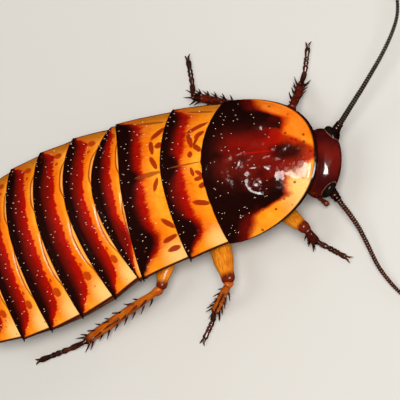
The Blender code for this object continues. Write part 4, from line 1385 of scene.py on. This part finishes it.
def feeler(flank, side, dark, light):
    """The long first joint, a round second one and the beaded lash."""
    base = on_head(SOCKET_PLACE[0] * flank, *SOCKET_PLACE[1:])
    line = follow([base] + [place(*point) for point in ANTENNA[side]])
    scape_share = SCAPE_LENGTH[side] / line.length
    shape = limb(lambda s: line(s * scape_share), thickness(*SCAPE_SIZES), 24, 24, cap=0.08)
    limb(lambda s: line(scape_share * 0.97 + s * PEDICEL_LENGTH / line.length),
         thickness(*PEDICEL_SIZES), 14, 24, cap=0.25, shape=shape)
    add_piece(f"scape_{side}_joints", shape, [scape_horn], [f"scape_{side}"])
    start = scape_share + (PEDICEL_LENGTH - 0.1) / line.length
    span = (1 - start) * line.length
    beads = round(span / BEAD_PITCH)

    def lash(share):
        wave = abs(sin(pi * beads * share))
        return mix(ANTENNA_BASE, ANTENNA_TIP, share) * (1 - BEAD_SWELL + BEAD_SWELL * wave) * 1.04
    shape = limb(lambda s: line(start + s * (1 - start)), lash, beads * RINGS_PER_BEAD, 10, cap=0.004)
    add_piece(f"flagellum_{side}_beads", shape,
              [tone_finish(f"lash_{side}_horn", dark, light, 0.13, beads)],
              [f"flagellum_1_{side}", f"flagellum_2_{side}"])
    print(side, "feeler:", beads, "rings over", round(span, 1), "mm")


scape_horn = tone_finish("scape_horn", (0.006, 0.0015, 0.001), (0.03, 0.005, 0.003), 0.15)
# Dark and light tone of each lash: the right lash is painted browner than the left as painted light, and the
# light tone is the painted highlight on the ring crests
lash_tones_with_painted_light = (((0.002, 0.001, 0.001), (0.13, 0.085, 0.06)), ((0.02, 0.005, 0.003), (0.17, 0.06, 0.03)))
for (flank, side), (dark, light) in zip(FLANKS, lash_tones_with_painted_light):
    feeler(flank, side, dark, light)

# %% Palps and tail feelers
PALP = ((1.4, 0.2, -3.0), (2.15, 0.2, -3.2), (3.2, 0.7, -3.0), (4.1, 1.3, -2.3), (4.7, 1.7, -1.3))
PALP_SIZES = ((0.0, 0.22), (0.2, 0.3), (0.34, 0.3), (0.38, 0.22), (0.5, 0.32), (0.62, 0.32), (0.66, 0.22),
              (0.8, 0.3), (0.92, 0.36), (1.0, 0.3))
CERCUS_SIDE = 5.9
CERCUS_REACH = 3.2
CERCUS_HEIGHT = 6.1
CERCUS_RADIUS = 0.36
CERCUS_RINGS = 9
cercus_horn = tone_finish("cercus_horn", (0.06, 0.012, 0.006), (0.3, 0.09, 0.02), 0.3)


def cercus_size(share):
    swell = 1 - 0.12 * abs(cos(pi * CERCUS_RINGS * share))
    return CERCUS_RADIUS * swell * (1 - 0.75 * share ** 2)


for flank, side in FLANKS:
    line = follow([on_head(out * flank, face_by, crown_by) for out, face_by, crown_by in PALP])
    add_piece(f"palp_{side}_joints", limb(line, thickness(*PALP_SIZES), 60, 16), [mouth_horn],
              [f"palp_{side}"])
    root = margin("tergite_7", CERCUS_SIDE) - 0.6
    stops = [place(root + CERCUS_REACH * s, flank * (CERCUS_SIDE + 0.8 * s), CERCUS_HEIGHT - 0.3 * s)
             for s in (0.0, 0.35, 0.7, 1.0)]
    add_piece(f"cercus_{side}_rings", limb(follow(stops), cercus_size, 54, 16, cap=0.06),
              [cercus_horn], [f"cercus_{side}"])

# %% [markdown]
# ## Legs
# Each leg has a broad hip, a flattened amber thigh, a spiny shank and a five-jointed foot with two
# claws. The joint between thigh and shank is a dark glossy knob. Every stretch is a balloon between two
# measured joints; the spines are small bent cones set in rows, which lean towards the foot.

# %% Joints and thicknesses of the legs
HIP_HEIGHT = 2.5
ANKLE_HEIGHT = 0.8

# Each leg: hip, knee, ankle and toe as station and side, with a height for the knee
LEGS = {
    "fore_right": ((-3.6, -3.2), (-10.1, -8.6, 4.6), (-9.4, -9.4), (-13.2, -11.9)),
    "fore_left": ((-3.6, 3.2), (-8.9, 6.9, 4.6), (-8.5, 11.1), (-9.4, 15.9)),
    "mid_right": ((4.6, -3.3), (1.35, -13.7, 4.4), (6.9, -16.0), (9.4, -19.0)),
    "mid_left": ((4.6, 3.3), (-1.4, 8.9, 3.6), (6.4, 12.9), (6.7, 18.2)),
    "hind_right": ((10.3, -3.3), (13.0, -12.1, 4.0), (29.3, -13.3), (37.0, -12.8)),
    "hind_left": ((10.3, 3.3), (12.6, 10.3, 2.9), (26.8, 12.0), (34.4, 12.3)),
}
COXA_LEAN = {"fore": 1.5, "mid": 0.3, "hind": -1.5}
COXA_OUT = {"fore": 1.7, "mid": 1.4, "hind": 1.8}
COXA_WIDE = ((0.0, 1.9), (0.35, 2.0), (0.75, 1.3), (1.0, 0.8))
COXA_DEEP = ((0.0, 1.5), (0.35, 1.4), (0.8, 0.9), (1.0, 0.8))
FEMUR_WIDTH = {"fore": 1.1, "mid": 1.5, "hind": 1.4}
FEMUR_DEPTH = {"fore": 0.85, "mid": 0.9, "hind": 0.9}
FEMUR_END = {"fore": 0.74, "mid": 0.92, "hind": 0.74}
TIBIA_RADIUS = {"fore": 0.56, "mid": 0.58, "hind": 0.66}
TARSUS_RADIUS = {"fore": 0.34, "mid": 0.36, "hind": 0.38}
FOOT_SEGMENTS = (0.36, 0.17, 0.12, 0.09, 0.26)
PADS = 4
PAD_SIZE = (0.3, 0.6, 0.55)
CLAW_SIZES = ((0.0, 0.15), (0.5, 0.11), (1.0, 0.025))
CLAW_LOBE = (0.26, 0.14, 0.09)
SOLE_RISE = 0.92
SPINE_LENGTH = {"fore": 1.1, "mid": 1.2, "hind": 1.25}

# Rows of spines: turn round the shank in degrees, how many, and the shares where they start and end
SPINE_ROWS = {
    "fore": ((-5, 4, 0.26, 0.84), (60, 3, 0.3, 0.75), (180, 4, 0.3, 0.84), (110, 2, 0.4, 0.7)),
    "mid": ((-5, 5, 0.22, 0.86), (55, 4, 0.26, 0.8), (185, 4, 0.3, 0.84), (110, 3, 0.35, 0.75)),
    "hind": ((-8, 8, 0.13, 0.9), (50, 7, 0.17, 0.86), (180, 6, 0.28, 0.88), (110, 4, 0.3, 0.8)),
}
SPUR_TURNS = (0, 65, 115, 180)
SPUR_BACK = 0.75
SPUR_LENGTH = 1.3
SPINE_THICK = 0.17
SPINE_LEAN = 42.0
SPINE_CLEAR = 0.35
FLOOR_CLEAR = 0.3
SPINE_HINT = (0.13, 0.21, 0.97)
SEED = 7


def unit(vector):
    return Vector(vector).normalized()


def horn_spine(shape, root, out, bend, length, thick):
    """A tapered spine that curves a little towards the foot."""
    tip = root + out * length + bend * (length * 0.16)
    line = follow([root, root + out * (length * 0.5) + bend * (length * 0.02), tip])
    limb(line, lambda share: thick * (1 - 0.88 * share ** 1.2), 9, 7, SPINE_HINT, 0.06, shape, tone=1)


# %% Finishes of the legs
def leg_finish(name, dark, light, knee, dark_from):
    """A mottled finish that turns to a dark knob at the end of the stretch."""
    finish = Finish(name, coat_roughness=0.12, coat_ior=1.7, specular_ior_level=0.12)
    along, _, lie = finish.pattern_map()
    mottle = finish.noise(420.0, 4.0)
    streak = finish.uneven(7.0, 3.0, lie, (1.0, 5.0, 1.0))
    base = finish.over(
        dark,
        ((streak * 0.6 + mottle * 0.4).rise(0.05, 0.35), light),
        ((along + streak * 0.12).rise(dark_from - 0.05, dark_from + 0.03), knee),
        (finish.cells(1300.0).rise(0.13, 0.08) * 0.5, knee))
    finish.bump(finish.noise(600.0, 2.0) + finish.cells(2300.0) * 0.3, 0.5, 0.0002)
    return finish.set(base_color=base, roughness=mottle.rise(0.2, 0.8) * 0.14 + 0.24,
                      coat_weight=mottle.rise(0.8, 0.3) * 0.25 + 0.05)


hip_horn = leg_finish("hip_horn", (0.3, 0.07, 0.008), (0.6, 0.2, 0.02), (0.1, 0.015, 0.004), 0.92)
thigh_horn = leg_finish("thigh_horn", (0.45, 0.1, 0.005), (0.78, 0.27, 0.014), (0.12, 0.01, 0.003), 0.9)
shank_horn = leg_finish("shank_horn", (0.28, 0.035, 0.003), (0.55, 0.13, 0.006), (0.06, 0.006, 0.002), 0.92)
# Dark shank finish: the fore shanks' own colour, and painted shade on the mid left shank
dark_and_shaded_shank_horn = leg_finish("dark_and_shaded_shank_horn", (0.035, 0.004, 0.002), (0.12, 0.01, 0.003),
                             (0.02, 0.003, 0.002), 0.8)
spine_horn = tone_finish("spine_horn", (0.012, 0.003, 0.002), (0.07, 0.01, 0.004), 0.18)
foot_horn = tone_finish("foot_horn", (0.012, 0.004, 0.003), (0.06, 0.014, 0.006), 0.16)
pad_skin = tone_finish("pad_skin", (0.35, 0.16, 0.06), (0.6, 0.36, 0.18), 0.45)


# %% Build a leg
def leg(name):
    """Hip, thigh, shank and foot of one leg."""
    pair, flank = name.split("_")
    outward = -1 if flank == "right" else 1
    hip_at, knee_at, ankle_at, toe_at = LEGS[name]
    root = place(hip_at[0] + COXA_LEAN[pair], hip_at[1] + outward * COXA_OUT[pair], THORAX_BOTTOM + 0.3)
    hip, knee = place(*hip_at, HIP_HEIGHT), place(*knee_at)
    ankle, toe = place(*ankle_at, ANKLE_HEIGHT), place(*toe_at, ANKLE_HEIGHT * 0.4)
    down, thigh, shank = unit(hip - root), unit(knee - hip), unit(ankle - knee)
    level = unit(thigh.cross(UP))

    line = follow([root - down * 0.6, root.lerp(hip, 0.5), hip + down * 0.25])
    shape = limb(line, thickness(*COXA_WIDE), 30, 30, (1, 0, 0), 0.12, deep=thickness(*COXA_DEEP))
    add_piece(f"coxa_{name}_horn", shape, [hip_horn], [f"coxa_{name}"])

    wide, deep, end = FEMUR_WIDTH[pair], FEMUR_DEPTH[pair], FEMUR_END[pair]
    femur_wide = thickness((0.0, 0.8), (0.1, 0.85), (0.35, wide), (0.65, wide * 0.95), (0.9, end), (1.0, end))
    femur_deep = thickness((0.0, 0.8), (0.1, 0.8), (0.35, deep), (0.65, deep * 0.93), (0.9, 0.66),
                           (1.0, 0.66))
    line = follow([hip, hip.lerp(knee, 0.5) + UP * 0.12, knee + thigh * 0.25])
    shape = limb(line, femur_wide, 44, 30, level, 0.07, deep=femur_deep)
    hind = follow([hip.lerp(knee, 0.12), hip.lerp(knee, 0.05) - thigh * 0.6])
    limb(hind, thickness((0.0, 0.8), (1.0, 0.7)), 14, 24, level, 0.4, shape,
         thickness((0.0, 0.85), (1.0, 0.75)))
    add_piece(f"femur_{name}_horn", shape, [thigh_horn], [f"femur_{name}"])

    thick = TIBIA_RADIUS[pair]
    tibia_size = thickness((0.0, 0.5), (0.05, 0.6), (0.12, 0.44), (0.3, thick * 0.86), (0.8, thick),
                           (1.0, thick * 0.85))
    bowed = knee.lerp(ankle, 0.45) + level * (0.012 * (ankle - knee).length)
    shape = limb(follow([knee - shank * 0.2, bowed, ankle + shank * 0.1]), tibia_size, 70, 20)
    add_spines(shape, pair, outward, knee, ankle, toe)
    # The fore shanks are dark in their own colour; the mid left one gets the same dark finish as painted
    # shade
    coat = dark_and_shaded_shank_horn if pair == "fore" or name == "mid_left" else shank_horn
    add_piece(f"tibia_{name}_horn", shape, [coat, spine_horn], [f"tibia_{name}"])
    add_foot(name, ankle, toe, TARSUS_RADIUS[pair])


def add_spines(shape, pair, outward, knee, ankle, toe):
    """Rows of spines along a shank and spurs round its end, clear of the foot and the floor."""
    shank = unit(ankle - knee)
    level = unit(shank.cross(UP))
    if level.y * outward < 0:
        level.negate()
    rise = level.cross(shank) if level.cross(shank).z > 0 else shank.cross(level)
    draw = random.Random(f"{SEED} {pair} {outward}")
    wanted = []
    for turn, count, start, end in SPINE_ROWS[pair]:
        for i in range(count):
            share = mix(start, end, i / (count - 1)) + draw.uniform(-0.015, 0.015)
            wanted.append((share, turn + draw.uniform(-9, 9), SPINE_LENGTH[pair] * draw.uniform(0.8, 1.1)))
    end_share = 1 - SPUR_BACK / (ankle - knee).length
    wanted += [(end_share, turn, SPUR_LENGTH * draw.uniform(0.9, 1.1)) for turn in SPUR_TURNS]
    toward = Vector((toe.x, toe.y, TARSUS_RADIUS[pair])) - ankle
    for share, turn, length in wanted:
        turn = math.radians(turn)
        radial = level * cos(turn) + rise * sin(turn)
        lean = math.radians(SPINE_LEAN + draw.uniform(-6, 6))
        out = shank * cos(lean) + radial * sin(lean)
        surface = knee.lerp(ankle, share) + radial * (TIBIA_RADIUS[pair] * 0.8)
        tip = surface + out * length
        nearest = ankle + toward * clamp((tip - ankle).dot(toward) / toward.length_squared)
        if tip.z > FLOOR_CLEAR and (tip - nearest).length > TARSUS_RADIUS[pair] + SPINE_CLEAR:
            horn_spine(shape, surface - out * 0.2, out, shank, length + 0.2, SPINE_THICK)


def add_foot(name, ankle, toe, thick):
    """Five joints, each widening to its end over a pale pad, two claws and the lobe between them."""
    foot = unit((toe.x - ankle.x, toe.y - ankle.y, 0))
    aside = foot.cross(UP)

    def centre(share):
        spot = ankle.lerp(toe, share)
        spot.z = mix(ANKLE_HEIGHT, thick * SOLE_RISE + 0.01, clamp(share / FOOT_SEGMENTS[0]) ** 0.8)
        return spot

    shape = bmesh.new()
    map_layer(shape)
    start = 0.0
    deep = thickness((0.0, thick * 0.72), (0.75, thick * 1.02), (1.0, thick * 0.9))
    for i, length in enumerate(FOOT_SEGMENTS):
        first, last = centre(start), centre(start + length)
        back = unit(last - first) * (0.0 if i == 0 else 0.12)
        line = follow([first - back, first.lerp(last, 0.5), last])
        limb(line, lambda share: deep(share) * 0.86, 20, 16, UP, 0.1, shape, deep)
        if i < PADS:
            below = last - UP * (thick * 0.62) - foot * 0.12
            axes = [axis * (thick * size) for axis, size in zip((UP, foot, aside), PAD_SIZE)]
            lump(8, 12, below, *axes, shape, tone=1)
        start += length
    end = centre(1.0)
    for side in (-1, 1):
        out = unit(foot * 0.88 + aside * (0.47 * side))
        claw = follow([end - foot * 0.15 + aside * (0.08 * side), end + out * 0.42 + UP * 0.1,
                       end + out * 0.78, end + out * 0.92 - UP * 0.16])
        limb(claw, thickness(*CLAW_SIZES), 16, 9, cap=0.06, shape=shape)
    axes = [axis * size for axis, size in zip((foot, aside, UP), CLAW_LOBE)]
    lump(8, 12, end + foot * 0.22 + UP * 0.02, *axes, shape, tone=1)
    add_piece(f"tarsus_{name}_joints", shape, [foot_horn, pad_skin], [f"tarsus_{name}"])


for name in LEGS:
    leg(name)

# %% [markdown]
# ## Bristles
# Short pale bristles stand along the dark hind band of each plate and over the shield. They are far too
# small to paint as fur: each is one thin cone, and all those of the back are joined into one mesh, so
# that hundreds of them cost little.

# %% Bristles of the back
BRISTLE_THICK = 0.055
BRISTLE_LENGTH = 0.24
BRISTLE_SIDES = 4
BRISTLES_PER_PLATE = 48
SHIELD_BRISTLES = 120
BRISTLE_DARK = (0.6, 0.42, 0.25)
BRISTLE_PALE = (0.95, 0.85, 0.7)


def bristle(shape, root, out, length):
    turn = out.to_track_quat("Z", "Y").to_matrix().to_4x4()
    middle = Matrix.Translation(root + out * (length * 0.42)) @ turn
    bmesh.ops.create_cone(shape, cap_ends=True, segments=BRISTLE_SIDES, radius1=BRISTLE_THICK,
                          radius2=BRISTLE_THICK * 0.2, depth=length, matrix=middle)


def normal_at(spot, along, across):
    """The outer normal of a surface that is given by two shares."""
    here = spot(along, across)
    square = (spot(along + NEAR, across) - here).cross(spot(along, across + NEAR) - here).normalized()
    return here, -square if square.z < 0 else square


def bristle_rows():
    """Bristles on the hind part of every plate, and some on the dark field of the shield."""
    draw = random.Random(SEED)
    shape = bmesh.new()
    back = place(20.0, 0, 0) - place(19.0, 0, 0)
    for i in range(1, len(PLATE_NAMES)):
        name, front = PLATE_NAMES[i], PLATE_NAMES[i - 1]

        def spot(t, s, name=name, front=front):
            return plate_point(name, front, t, s, lambda *_: 0.0)
        for k in range(BRISTLES_PER_PLATE):
            s = mix(-0.93, 0.93, (k + draw.uniform(0.0, 1.0)) / BRISTLES_PER_PLATE)
            here, square = normal_at(spot, 0.97 - 0.65 * draw.uniform(0.0, 1.0) ** 1.6, s)
            out = square * draw.uniform(0.5, 0.9) + back + Vector((0, draw.uniform(-0.3, 0.3), 0))
            bristle(shape, here, out.normalized(), BRISTLE_LENGTH * draw.uniform(0.45, 1.0))
    for _ in range(SHIELD_BRISTLES):
        along, across = draw.uniform(0.06, 0.86), draw.uniform(0.08, 0.92)
        ahead, s = shield_lie(along, across)
        if ahead > mix(0.2, 0.7, clamp((0.76 - abs(s)) / 0.26)):
            continue
        here, square = normal_at(shield_spot, along, across)
        out = (square + Vector((-0.8, draw.uniform(-0.3, 0.3), 0))).normalized()
        bristle(shape, here, out, BRISTLE_LENGTH * draw.uniform(0.4, 0.7))
    return shape


bristle_horn = Finish("bristle_horn", roughness=0.3)
bristle_tone = bristle_horn.blend(bristle_horn.noise(900.0), BRISTLE_DARK, BRISTLE_PALE)
bristles = bristle_rows()
map_layer(bristles)
add_piece("back_bristles", bristles, [bristle_horn.set(base_color=bristle_tone)])
